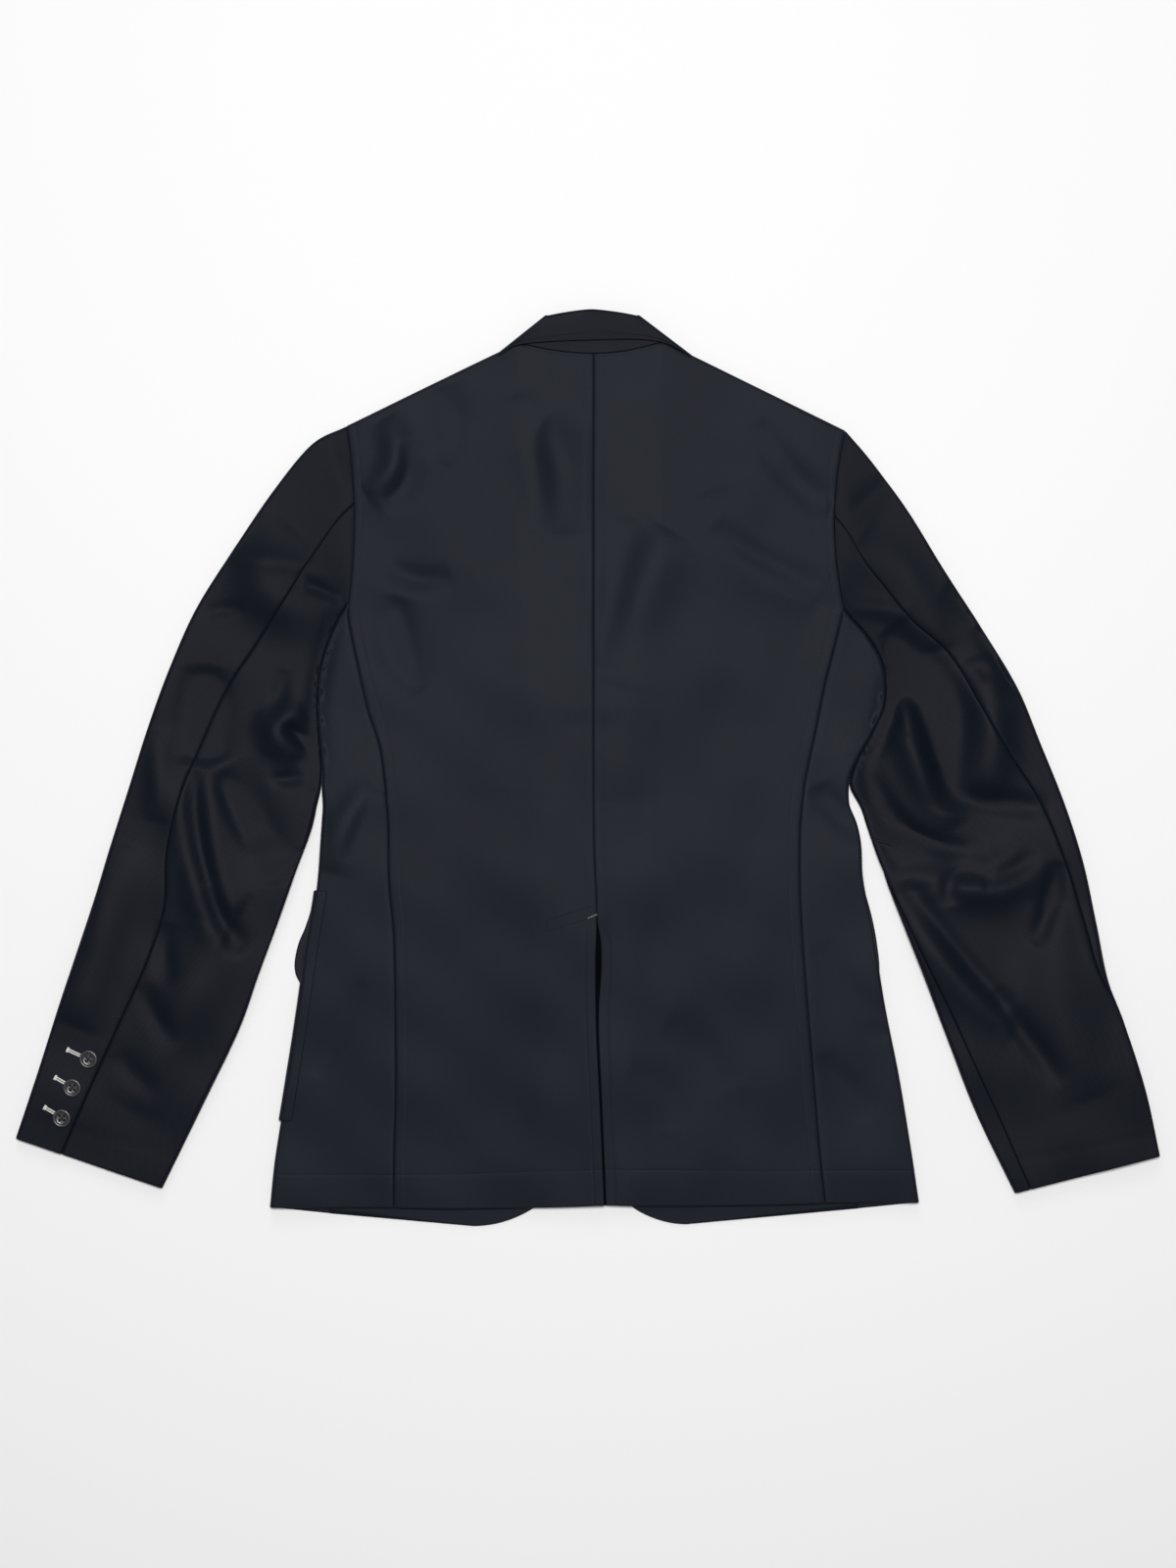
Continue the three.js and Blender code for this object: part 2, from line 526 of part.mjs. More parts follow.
// A side body: from the seam at the back round the folded edge to the seam at the front.
const SIDE_COLUMNS = 9;
const INWARDS = 200;
function sideLoop(side, y, seamSign) {
  const edge = read(side, 'y', 'edge', y);
  return { edge, loop: section([edge, y], [edge - seamSign * INWARDS, y]) };
}
function sideBody(name, side, seamSign) {
  const grid = spread(SIDE_ROWS).map((share) => {
    const row = ARM_ROWS + share * SIDE_ROWS;
    const y = lateralY(0, side, row);
    const { edge, loop } = sideLoop(side, y, seamSign);
    const over = Math.abs(read(side, 'y', 'back', y) - edge) - HALF - SEAM_GAP / 2;
    const below = Math.abs(read(side, 'y', 'front', y) - edge) - HALF - SEAM_GAP / 2;
    return places(loop, -loop.roundTo(below), loop.roundTo(over), SIDE_COLUMNS).map(({ at, out }) => {
      const underneath = out.z < 0 ? Math.min(1, Math.abs(at.x - edge) / (below + HALF)) : 0;
      return { at: at.clone().setY(y - frontDrop(row) * underneath), out };
    });
  });
  return wall(name, grid);
}

// A front: from the neck, lapel roll and front edge to the armhole and the side-front seam.
const FRONT_COLUMNS = 8;
const CORNER_ROWS = 6;
function frontPanel(name, seamSign, sleeve, side, neck, corner, lapX) {
  const underarm = side[0].y;
  const roll = [
    { y: neck.y, x: neck.x + seamSign * 1.4 },
    { y: 318, x: neck.x + seamSign * 2.5 },
    { y: 300, x: neck.x - seamSign * 9 },
    { y: 62, x: seamSign * 5 + 3 },
    { y: 20, x: mix(3, lapX, 0.75) },
    { y: -30, x: lapX },
    { y: FRONT_BREAK_Y, x: lapX },
  ];
  const gap = (seamSign * SEAM_GAP) / 2;
  const outerX = (y) => (y > underarm ? armholeX(sleeve, y) : read(side, 'y', 'front', y)) - gap;
  const straightRows = BODY_ROWS - CORNER_ROWS;
  const tipY = shoulderRow(outerX(sleeve[0].oy), 90, false, 1).y;
  const neckY = shoulderRow(roll[0].x, 90, false, 1).y;
  const lift = (x) => (seamSign > 0 ? LAYER * lapShare(x) : 0);
  const at = (u, row) => {
    const outerY = lateralY(tipY, side, row);
    const straight = mix(neckY, FRONT_BREAK_Y, Math.min(1, row / straightRows));
    const turn = (Math.max(0, row - straightRows) / CORNER_ROWS) * (Math.PI / 2);
    const curved = turn > 0;
    const innerY = curved ? mix(FRONT_BREAK_Y, corner.y, Math.sin(turn)) : straight;
    const innerX = curved ? mix(corner.x, lapX, Math.cos(turn)) : read(roll, 'y', 'x', straight);
    return [mix(innerX, outerX(outerY), u), mix(innerY, outerY - frontDrop(row), u)];
  };
  const grid = SHOULDER_ANGLES.map((angle) => spread(FRONT_COLUMNS).map((u) => {
    const x = at(u, 0)[0];
    const row = shoulderRow(x, angle, false, 1);
    return place(x, row.y, row.z, row.out);
  }));
  for (let row = 0; row <= BODY_ROWS; row += 1) {
    grid.push(spread(FRONT_COLUMNS).map((u) => {
      const [x, y] = at(u, row);
      return place(x, y, underHeight(x, y) + lift(x), DOWN);
    }));
  }
  return wall(name, grid);
}

// A flat piece on the surface, ruled between two runs of points.
function flatPiece(name, runA, runB, columns, height = HALF) {
  const grid = runA.map((a, i) => spread(columns).map((u) => {
    const [x, y] = mixPoint(a, runB[i], u);
    return place(x, y, height, DOWN);
  }));
  return wall(name, grid);
}

// A lapel: from the roll line to its outer edge, bowed a little, turned flat under the front.
const LAPEL_ROWS = 8;
const LAPEL_BOW = 7;
function lapel(name, [roll, peak, tip], seamSign) {
  const inner = spread(LAPEL_ROWS).map((v) => mixPoint(roll, tip, v));
  const outer = spread(LAPEL_ROWS).map((v) => {
    const [x, y] = mixPoint(peak, tip, v * 0.96);
    return [x + seamSign * LAPEL_BOW * 4 * v * (1 - v), y];
  });
  return flatPiece(name, inner, outer, 3);
}

// One sleeve: rings from the armhole to the cuff, shared by the upper and the under sleeve.
const RINGS = 21;
const UPPER_COLUMNS = 12;
const UNDER_COLUMNS = 10;
const ARMHOLE_EASE = 0.5;
const CROSSING_EASE = 0.9;
function sleeveGrids(stations) {
  const numbered = stations.map((row, i) => ({ ...row, i }));
  const upper = [];
  const under = [];
  for (const share of spread(RINGS)) {
    const i = share * (stations.length - 1);
    const value = (column) => read(numbered, 'i', column, i);
    const shift = Math.sign(stations[0].ox) * (SEAM_GAP + ARMHOLE_EASE) * Math.max(0, 1 - i);
    const loop = section(
      [value('ox') + shift, value('oy')],
      [value('ix') + shift, value('iy')],
      value('bow') * Math.max(0, 1 - i),
    );
    const elbow = loop.roundTo(value('elbow') * loop.width);
    const front = loop.half + value('front');
    const gap = SEAM_GAP / 2;
    const frontGap = gap + CROSSING_EASE * Math.exp(-((value('front') / 7) ** 2));
    upper.push(places(loop, front - 2 * loop.half + frontGap, elbow - gap, UPPER_COLUMNS));
    under.push(places(loop, elbow + gap, front - frontGap, UNDER_COLUMNS));
  }
  return { upper, under };
}

// The collar: columns along it from the left front end, over the back, to the right front end. Each
// holds its roll, the fall's edge and the neck seam in plan, the way out, and the heights there.
const FALL_RISE = 3.3;
const COLLAR_FOLD_STEPS = 4;
const collar = {
  back: [
    { t: 0, fx: -72.4, fy: 336.6, nx: -54, ny: 348 },
    { t: 0.12, fx: -60, fy: 344.2, nx: -44, ny: 346 },
    { t: 0.3, fx: -34, fy: 347.6, nx: -20, ny: 340.4 },
    { t: 0.5, fx: 5.8, fy: 349.1, nx: 4.8, ny: 338.8 },
    { t: 0.7, fx: 44, fy: 349.5, nx: 28, ny: 340.4 },
    { t: 0.88, fx: 67.6, fy: 345, nx: 50, ny: 346.4 },
    { t: 1, fx: 83.6, fy: 335.2, nx: 59, ny: 348.8 },
  ],
  rollLeft: [-34, 367.5],
  rollRight: [41.5, 367.5],
  crown: 4.6,
  frontLeft: { roll: [-46, 312], fall: [-106, 291], neck: [-56, 317] },
  frontRight: { roll: [52, 312], fall: [114, 289], neck: [61, 318] },
};
const BACK_STEPS = 10;
const LEAF_STEPS = 3;
function collarColumns() {
  const neckTop = topHeight(NECK_MIDDLE_X, NECK_CENTRE_Y);
  const fallTop = neckTop + FALL_RISE;
  const standUnder = HALF + LAYER;
  const crownY = (t) => collar.rollLeft[1] + collar.crown * 4 * t * (1 - t);
  const backAt = (t) => ({
    roll: [mix(collar.rollLeft[0], collar.rollRight[0], t), crownY(t)],
    fall: [read(collar.back, 't', 'fx', t), read(collar.back, 't', 'fy', t)],
    neck: [read(collar.back, 't', 'nx', t), read(collar.back, 't', 'ny', t)],
  });
  const column = (plan, side, angle) => {
    const [rx, ry] = plan.roll;
    const [fx, fy] = plan.fall;
    const foldOut = new THREE.Vector3(side * Math.abs(ry - fy), Math.abs(rx - fx), 0).normalize();
    const cos = Math.max(Math.cos(angle), 0);
    const out = foldOut.clone().multiplyScalar(cos).addScaledVector(UP, Math.sin(angle));
    const fallRadius = (fallTop - HALF) / 2;
    const standRadius = (neckTop - standUnder) / 2;
    return {
      ...plan,
      foldOut,
      out,
      fallPush: fallRadius * cos,
      standPush: standRadius * cos,
      fallZ: (fallTop + HALF) / 2 + fallRadius * Math.sin(angle),
      standZ: (neckTop + standUnder) / 2 + standRadius * Math.sin(angle),
    };
  };
  const leaf = (from, to, share, side) => column({
    roll: mixPoint(from.roll, to.roll, share),
    fall: mixPoint(from.fall, to.fall, share),
    neck: mixPoint(from.neck, to.neck, share),
  }, side, -Math.PI / 2);
  const foldShares = spread(COLLAR_FOLD_STEPS + 1).slice(1, -1);
  const foldAngles = foldShares.map((s) => mix(-Math.PI / 2, Math.PI / 2, s));
  const left = backAt(0);
  const right = backAt(1);
  return [
    ...spread(LEAF_STEPS).map((s) => leaf(left, collar.frontLeft, 1 - s, -1)),
    ...foldAngles.map((angle) => column(left, -1, angle)),
    ...spread(BACK_STEPS).map((t) => column(backAt(t), t < 0.5 ? -1 : 1, Math.PI / 2)),
    ...[...foldAngles].reverse().map((angle) => column(right, 1, angle)),
    ...spread(LEAF_STEPS).map((s) => leaf(right, collar.frontRight, s, 1)),
  ];
}
function collarPlace(c, kind, share) {
  const roll = new THREE.Vector3(...c.roll, c.fallZ).addScaledVector(c.foldOut, c.fallPush);
  const fall = new THREE.Vector3(...c.fall, c.fallZ).addScaledVector(c.foldOut, c.fallPush);
  const neck = new THREE.Vector3(...c.neck, c.standZ).addScaledVector(c.foldOut, c.standPush);
  const inside = new THREE.Vector3(...c.roll, c.standZ).addScaledVector(c.foldOut, c.standPush);
  const over = roll.clone().sub(fall).normalize();
  if (kind === 'fall') return { at: roll.clone().lerp(fall, share), out: c.out.clone() };
  if (kind === 'stand') return { at: inside.clone().lerp(neck, share), out: c.out.clone() };
  const turn = share * Math.PI;
  const radius = roll.distanceTo(inside) / 2;
  const at = roll.clone().lerp(inside, (1 - Math.cos(turn)) / 2);
  at.addScaledVector(over, radius * Math.sin(turn));
  const out = roll.clone().sub(inside).normalize().multiplyScalar(Math.cos(turn));
  return { at, out: out.addScaledVector(over, Math.sin(turn)).normalize() };
}
function collarPieces() {
  const columns = collarColumns();
  const fallRows = [1, 0.66, 0.33, 0];
  const rollRows = [0.2, 0.4, 0.6, 0.8];
  const standRows = [0.08, 0.4, 0.7, 1];
  const fall = columns.map((c) => [
    ...fallRows.map((s) => collarPlace(c, 'fall', s)),
    ...rollRows.map((s) => collarPlace(c, 'roll', s)),
  ]);
  const stand = columns.map((c) => standRows.map((s) => collarPlace(c, 'stand', s)));
  return [wall('collar_fall', fall), wall('collar_stand', stand)];
}

// A patch pocket: moved out from the side body's and the front's own places.
const POCKET_COLUMNS = 10;
const POCKET_ROW_GAP = 4;
function pocket(name, side, seamSign, size) {
  const sideRows = spread(SIDE_ROWS).map((share) => lateralY(0, side, ARM_ROWS + share * SIDE_ROWS));
  const between = sideRows.filter((y) => y < size.top - POCKET_ROW_GAP && y > size.foot + POCKET_ROW_GAP);
  const grid = [size.top, ...between, size.foot].map((y) => {
    const { edge, loop } = sideLoop(side, y, seamSign);
    const from = -loop.roundTo(Math.abs(size.inner - edge) - HALF);
    const to = size.wrap > 0 ? loop.roundTo(size.wrap) : -loop.roundTo(size.outer);
    return places(loop, from, to, POCKET_COLUMNS).map(({ at, out }) => ({
      at: at.clone().addScaledVector(out, LAYER),
      out,
    }));
  });
  return wall(name, grid);
}

// A pocket flap, flat on the surface below its pocket.
const FLAP_ROWS = 8;
function flap(name, rows) {
  const heights = spread(FLAP_ROWS).map((v) => mix(FLAP_TOP_Y, FLAP_FOOT_Y, v));
  const outer = heights.map((y) => [read(rows, 'y', 'outer', y), y]);
  const inner = heights.map((y) => [read(rows, 'y', 'inner', y), y]);
  return flatPiece(name, outer, inner, 4);
}

// The vent's underlap: a strip one layer below the backs, from the vent's top to the hem.
const UNDERLAP = { left: 30, right: 8, rows: 14, columns: 3 };
function ventUnderlap() {
  const grid = spread(UNDERLAP.rows).map((v) => spread(UNDERLAP.columns).map((u) => {
    const y = mix(VENT_TOP_Y, CENTRE_HEM_Y, v);
    const x = read(CENTRE_BACK, 'y', 'x', y) + mix(-UNDERLAP.left, UNDERLAP.right, u);
    return place(x, y, topHeight(x, y) - LAYER, UP);
  }));
  return wall('vent_underlap', grid);
}

// A four-hole button with a raised rim, its holes cut through.
const wasm = await Module();
wasm.setup();
function solid(geometry) {
  const bare = geometry.toNonIndexed();
  bare.deleteAttribute('normal');
  bare.deleteAttribute('uv');
  const merged = mergeVertices(bare, 1e-4);
  return new wasm.Manifold(new wasm.Mesh({
    numProp: 3,
    vertProperties: new Float32Array(merged.attributes.position.array),
    triVerts: new Uint32Array(merged.index.array),
  }));
}
const BUTTON_SIDES = 16;
const HOLE_SIDES = 5;
function buttonGeometry() {
  const r = BUTTON_RADIUS;
  const h = BUTTON_HEIGHT;
  const profile = [
    [0, 0],
    [r * 0.7, 0],
    [r * 0.95, h * 0.25],
    [r, h * 0.6],
    [r * 0.9, h],
    [r * 0.76, h],
    [r * 0.62, h * 0.7],
    [0, h * 0.6],
  ].map(([x, y]) => new THREE.Vector2(x, y));
  let body = solid(new THREE.LatheGeometry(profile, BUTTON_SIDES).rotateX(Math.PI / 2));
  for (const [sx, sy] of [[1, 1], [1, -1], [-1, 1], [-1, -1]]) {
    const hole = new THREE.CylinderGeometry(BUTTON_HOLE_RADIUS, BUTTON_HOLE_RADIUS, 3 * h, HOLE_SIDES);
    hole.rotateX(Math.PI / 2).translate(sx * BUTTON_HOLE_SPREAD, sy * BUTTON_HOLE_SPREAD, 0);
    body = body.subtract(solid(hole));
  }
  const made = body.getMesh();
  const geometry = new THREE.BufferGeometry();
  geometry.setAttribute('position', new THREE.Float32BufferAttribute(made.vertProperties, 3));
  geometry.setIndex([...made.triVerts]);
  geometry.computeVertexNormals();
  return geometry;
}

// Cuff buttons in a row up the left cuff, each resting just clear of the cloth.
const REST_POINTS = 12;
function leftCuffButtons() {
  const geometry = buttonGeometry();
  return LEFT_CUFF_BUTTONS.map(({ x, y }, i) => {
    const around = spread(REST_POINTS).map((share) => share * 2 * Math.PI);
    const highest = Math.max(...around.map((a) => topHeight(
      x + BUTTON_RADIUS * Math.cos(a),
      y + BUTTON_RADIUS * Math.sin(a),
    )));
    const mesh = new THREE.Mesh(geometry, horn());
    mesh.name = `left_cuff_button_${i + 1}`;
    mesh.position.set(x, y, highest + HALF + SEAM_GAP);
    return mesh;
  });
}

// Buttons on the underside: plain discs, face down on the surface below the cloth.
function undersideButtons() {
  return UNDERSIDE_BUTTONS.map(({ name, x, y, radius }) => {
    const disc = new THREE.CylinderGeometry(radius * 0.94, radius, UNDERSIDE_BUTTON_HEIGHT, BUTTON_SIDES);
    const mesh = new THREE.Mesh(disc.rotateX(Math.PI / 2), horn());
    mesh.name = name;
    mesh.position.set(x, y, UNDERSIDE_BUTTON_HEIGHT / 2);
    return mesh;
  });
}

const leftSleeve = sleeveGrids(LEFT_SLEEVE);
const rightSleeve = sleeveGrids(RIGHT_SLEEVE);
const coat = new THREE.Group();
coat.add(
  backPanel('back_left', LEFT_SLEEVE, LEFT_SIDE, -1),
  backPanel('back_right', RIGHT_SLEEVE, RIGHT_SIDE, 1),
  sideBody('side_left', LEFT_SIDE, -1),
  sideBody('side_right', RIGHT_SIDE, 1),
  frontPanel('front_left', -1, LEFT_SLEEVE, LEFT_SIDE, NECK_LEFT, FRONT_LEFT_HEM, LAP_LEFT_X),
  frontPanel('front_right', 1, RIGHT_SLEEVE, RIGHT_SIDE, NECK_RIGHT, FRONT_RIGHT_HEM, LAP_RIGHT_X),
  lapel('lapel_left', LAPEL_LEFT, -1),
  lapel('lapel_right', LAPEL_RIGHT, 1),
  wall('sleeve_left_upper', leftSleeve.upper),
  wall('sleeve_left_under', leftSleeve.under),
  wall('sleeve_right_upper', rightSleeve.upper),
  wall('sleeve_right_under', rightSleeve.under),
  ...collarPieces(),
  pocket('pocket_left', LEFT_SIDE, -1, POCKET_LEFT),
  pocket('pocket_right', RIGHT_SIDE, 1, POCKET_RIGHT),
  flap('flap_left', FLAP_LEFT),
  flap('flap_right', FLAP_RIGHT),
  ventUnderlap(),
  ...leftCuffButtons(),
  ...undersideButtons(),
);
export default coat;
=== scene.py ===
import json
import bpy
import numpy as np
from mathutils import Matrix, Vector

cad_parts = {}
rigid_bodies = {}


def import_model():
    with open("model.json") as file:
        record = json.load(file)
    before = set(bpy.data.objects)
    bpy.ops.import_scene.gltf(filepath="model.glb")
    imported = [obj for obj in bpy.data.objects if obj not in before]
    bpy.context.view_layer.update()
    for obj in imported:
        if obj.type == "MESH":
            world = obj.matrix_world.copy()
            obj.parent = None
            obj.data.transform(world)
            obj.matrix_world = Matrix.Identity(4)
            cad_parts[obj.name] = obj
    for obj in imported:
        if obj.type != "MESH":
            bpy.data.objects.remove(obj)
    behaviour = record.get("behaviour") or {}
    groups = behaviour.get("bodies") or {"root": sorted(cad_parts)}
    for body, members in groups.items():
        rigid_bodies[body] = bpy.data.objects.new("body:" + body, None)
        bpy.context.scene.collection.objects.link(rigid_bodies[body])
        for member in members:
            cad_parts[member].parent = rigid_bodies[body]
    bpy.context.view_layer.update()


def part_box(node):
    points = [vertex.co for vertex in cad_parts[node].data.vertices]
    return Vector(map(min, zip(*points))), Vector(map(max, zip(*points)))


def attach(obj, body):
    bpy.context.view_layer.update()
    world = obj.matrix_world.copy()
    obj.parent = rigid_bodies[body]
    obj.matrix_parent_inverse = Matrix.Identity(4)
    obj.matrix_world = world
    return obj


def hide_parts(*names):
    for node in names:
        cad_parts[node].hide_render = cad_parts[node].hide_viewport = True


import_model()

# Cloth of the coat. The real cloth is a fine, smooth wool twill, almost black, with a navy cast.
# Its steep ribs are about a millimetre apart; it is matt with a faint bloom where light grazes it.
NAVY = (0.0046, 0.0062, 0.0104, 1)
NAVY_LIT = (0.0096, 0.0122, 0.0188, 1)
RIBS_PER_METRE = 1050
RIB_LEAN = 0.52
SLUB_SCALE = 900.0
NAP_SCALE = 240.0
CLOUD_SCALE = 9.0
BODY_GLOSS = 0.07
# The sleeves and collar take a darker copy of the same navy. This is painted shade for the lesser light that
# falls on them.
PAINTED_SHADE_NAVY = (0.0022, 0.0034, 0.0066, 1)
PAINTED_SHADE_NAVY_LIT = (0.0048, 0.0066, 0.0114, 1)
SLEEVE_GLOSS = 0.072


def new_group(name, inputs, outputs):
    """An empty node group with named inputs and outputs, and its two end nodes."""
    group = bpy.data.node_groups.new(name, "ShaderNodeTree")
    for label, kind in inputs:
        group.interface.new_socket(label, in_out="INPUT", socket_type=kind)
    for label, kind in outputs:
        group.interface.new_socket(label, in_out="OUTPUT", socket_type=kind)
    return group, group.nodes.new("NodeGroupInput"), group.nodes.new("NodeGroupOutput")


def math(tree, operation, first, second):
    """One Math node; each input is a number or an output socket."""
    node = tree.nodes.new("ShaderNodeMath")
    node.operation = operation
    for socket, value in zip(node.inputs, (first, second)):
        if isinstance(value, (int, float)):
            socket.default_value = value
        else:
            tree.links.new(value, socket)
    return node.outputs[0]


def noise(tree, vector, scale, detail):
    """One Noise Texture node's value."""
    node = tree.nodes.new("ShaderNodeTexNoise")
    node.inputs["Scale"].default_value = scale
    node.inputs["Detail"].default_value = detail
    tree.links.new(vector, node.inputs["Vector"])
    return node.outputs["Fac"]


weave, enter, leave = new_group(
    "twill weave",
    [("Cloth", "NodeSocketVector"), ("Place", "NodeSocketVector"), ("Ribs", "NodeSocketFloat")],
    [("Height", "NodeSocketFloat"), ("Tone", "NodeSocketFloat")],
)
split = weave.nodes.new("ShaderNodeSeparateXYZ")
weave.links.new(enter.outputs["Cloth"], split.inputs[0])
diagonal = math(weave, "ADD", split.outputs["X"], math(weave, "MULTIPLY", split.outputs["Y"], RIB_LEAN))
turns = math(weave, "MULTIPLY", diagonal, math(weave, "MULTIPLY", enter.outputs["Ribs"], 2 * np.pi))
rib = math(weave, "MULTIPLY", math(weave, "ADD", math(weave, "SINE", turns, 0.0), 1.0), 0.5)
slub = noise(weave, enter.outputs["Cloth"], SLUB_SCALE, 2.0)
nap = noise(weave, enter.outputs["Place"], NAP_SCALE, 3.0)
cloud = noise(weave, enter.outputs["Place"], CLOUD_SCALE, 4.0)
height = math(weave, "ADD", math(weave, "MULTIPLY", rib, 0.5), math(weave, "MULTIPLY", slub, 0.5))
weave.links.new(math(weave, "ADD", height, math(weave, "MULTIPLY", nap, 0.35)), leave.inputs["Height"])
tone = math(weave, "ADD", math(weave, "MULTIPLY", rib, 0.25), math(weave, "MULTIPLY", cloud, 0.75))
weave.links.new(math(weave, "ADD", tone, math(weave, "MULTIPLY", nap, 0.25)), leave.inputs["Tone"])


def twill(name, dark, lit, gloss):
    """The coat's cloth: the weave's tone runs from dark to lit colour, and its height is a fine bump."""
    material = bpy.data.materials.new(name)
    material.use_nodes = True
    tree = material.node_tree
    shader = tree.nodes["Principled BSDF"]
    shader.inputs["Roughness"].default_value = 0.5
    shader.inputs["Specular IOR Level"].default_value = gloss
    shader.inputs["Sheen Weight"].default_value = 0.015
    shader.inputs["Sheen Roughness"].default_value = 0.55
    shader.inputs["Sheen Tint"].default_value = (0.55, 0.62, 0.75, 1)
    run = tree.nodes.new("ShaderNodeUVMap")
    run.uv_map = "cloth"
    place = tree.nodes.new("ShaderNodeTexCoord")
    woven = tree.nodes.new("ShaderNodeGroup")
    woven.node_tree = weave
    woven.inputs["Ribs"].default_value = RIBS_PER_METRE
    tree.links.new(run.outputs["UV"], woven.inputs["Cloth"])
    tree.links.new(place.outputs["Object"], woven.inputs["Place"])
    colours = tree.nodes.new("ShaderNodeMix")
    colours.data_type = "RGBA"
    colours.inputs["A"].default_value = dark
    colours.inputs["B"].default_value = lit
    tree.links.new(woven.outputs["Tone"], colours.inputs["Factor"])
    tree.links.new(colours.outputs["Result"], shader.inputs["Base Color"])
    bump = tree.nodes.new("ShaderNodeBump")
    bump.inputs["Strength"].default_value = 0.35
    bump.inputs["Distance"].default_value = 0.0003
    tree.links.new(woven.outputs["Height"], bump.inputs["Height"])
    tree.links.new(bump.outputs["Normal"], shader.inputs["Normal"])
    return material


body_cloth = twill("Navy twill of the body", NAVY, NAVY_LIT, BODY_GLOSS)
# The darker twill of the sleeves and collar is painted shade.
painted_shade_cloth = twill("Navy twill of the sleeves and collar", PAINTED_SHADE_NAVY, PAINTED_SHADE_NAVY_LIT, SLEEVE_GLOSS)

# How the coat lies. It is flat on its front with the back up: the fronts rest on the surface, lifted
# where lapels, collar, pockets, flaps and buttons lie below them, and the back lies over the fronts.
CLOTH = 1.6
HALF = CLOTH / 2
SEAM_GAP = 0.3
LAYER = 2.1
BACK_RISE = 6.0
SHOW_THROUGH = 0.6
LEAST_STACK = 2.2
LAP_LEFT_X = 18
LAP_RIGHT_X = -20
LAP_MARGIN = 12
LAP_RAMP = 30
LAP_TOP_Y = 90
FOLD_INSET = 3
SHOULDER_INSET = 4
NECK_CENTRE_Y = 338.3
NECK_MIDDLE_X = 4
NECK_FLAT = 50
NECK_TURN = 14
NECK_STEP = 3
NECK_LEFT = (-57, 347.5)
NECK_RIGHT = (62, 348.5)
CENTRE_HEM_Y = -357

# Centre back, in millimetres: y, x of the seam and then of the vent's edge
CENTRE_BACK = np.array([
    (339, 4.8), (60, 4.6), (-60, 5.2), (-120, 7.4), (-160, 6.4), (-215, 7.2), (-270, 9.8), (-357, 13.5),
])
# Side bodies: y, x of the seam at the back, x of the folded edge, x of the seam at the front
LEFT_SIDE = np.array([
    (131, -196.2, -198, -196.2), (120, -195.2, -204, -190), (104, -192, -210.5, -182),
    (88, -188.6, -215.8, -176), (70, -184.8, -218.6, -172), (45, -178.8, -219.3, -171),
    (20, -170.5, -217.3, -170), (-5, -166.4, -215.4, -169), (-45, -163, -217.4, -170),
    (-95, -162, -221, -174), (-140, -158, -228, -180), (-200, -157, -236.5, -188),
    (-260, -156.6, -246, -197), (-320, -158.2, -255.6, -206), (-359, -158.4, -259.8, -211),
])
RIGHT_SIDE = np.array([
    (127, 208.2, 210.2, 208.2), (117, 206, 217.5, 202), (104, 202.6, 228, 195),
    (88, 198.5, 237.5, 190), (70, 194, 241, 187), (48, 189.6, 239.8, 186), (30, 186, 230.5, 184),
    (12, 182, 219, 178), (-12, 177.4, 209.4, 170), (-28, 175.4, 213, 168), (-45, 173.6, 220, 170),
    (-61, 173, 223.2, 173), (-90, 173, 224.8, 178), (-130, 174.6, 232.6, 184),
    (-190, 179, 242, 193), (-250, 184, 254, 204), (-310, 189, 264, 214), (-355, 194, 270.8, 221),
])
# Sleeves: number, outer x and y, inner x and y, share across of the elbow seam, way from the inner
# edge round to the front seam, bow of the armhole
LEFT_SLEEVE = np.array([
    (0, -197.4, 279.6, -195.8, 134.3, 0.44, 24, 5.5), (1, -225.4, 264.7, -202.6, 126, 0.53, 24, 0),
    (2, -256.6, 227.1, -210, 112, 0.54, 24, 0), (3, -289.4, 179.1, -217.6, 91, 0.53, 24, 0),
    (4, -319.8, 131.1, -222, 65, 0.48, 24, 0), (5, -341.4, 83.1, -222, 34, 0.38, 24, 0),
    (6, -359, 35.1, -219.4, -6, 0.31, 24, 0), (7, -374.2, -12.9, -224, -44, 0.275, 24, 0),
    (8, -389.4, -60.9, -238.2, -84.1, 0.3, 22, 0), (9, -403.8, -108.9, -252.6, -124.9, 0.38, 20, 0),
    (10, -419.8, -156.9, -268.6, -168.1, 0.384, 18, 0), (11, -435.8, -204.9, -284.6, -212.9, 0.351, 16, 0),
    (12, -451, -252.9, -311.8, -269.7, 0.325, 15, 0), (13, -467.6, -302.5, -347.8, -343.3, 0.31, 14, 0),
])
RIGHT_SLEEVE = np.array([
    (0, 210.6, 275.7, 209.5, 130, 0.48, 24, -8.5), (1, 231.4, 251.1, 216, 123.5, 0.585, 24, 0),
    (2, 261, 211.1, 230.5, 108.5, 0.6, 24, 0), (3, 290.6, 163.1, 243.5, 84, 0.53, 24, 0),
    (4, 321.8, 115.1, 245, 55, 0.34, 22, 0), (5, 350.6, 67.1, 234.5, 27, 0.27, 20, 0),
    (6, 370.6, 19.1, 218.6, -9, 0.175, 14, 0), (7, 389.8, -28.9, 226, -41, 0.11, 6, 0),
    (8, 405, -76.9, 241, -85, 0.085, 0, 0), (9, 415.4, -124.9, 257, -126.5, 0.06, -4, 0),
    (10, 425, -172.9, 275.4, -172.9, 0.04, -9, 0), (11, 438.6, -208.9, 293, -219.3, 0.035, -13, 0),
    (12, 456.2, -264.9, 317, -280.9, 0.035, -17, 0), (13, 467.6, -316.9, 349, -347.3, 0.035, -14, 0),
])
FOLD_DEPTH = 1.9
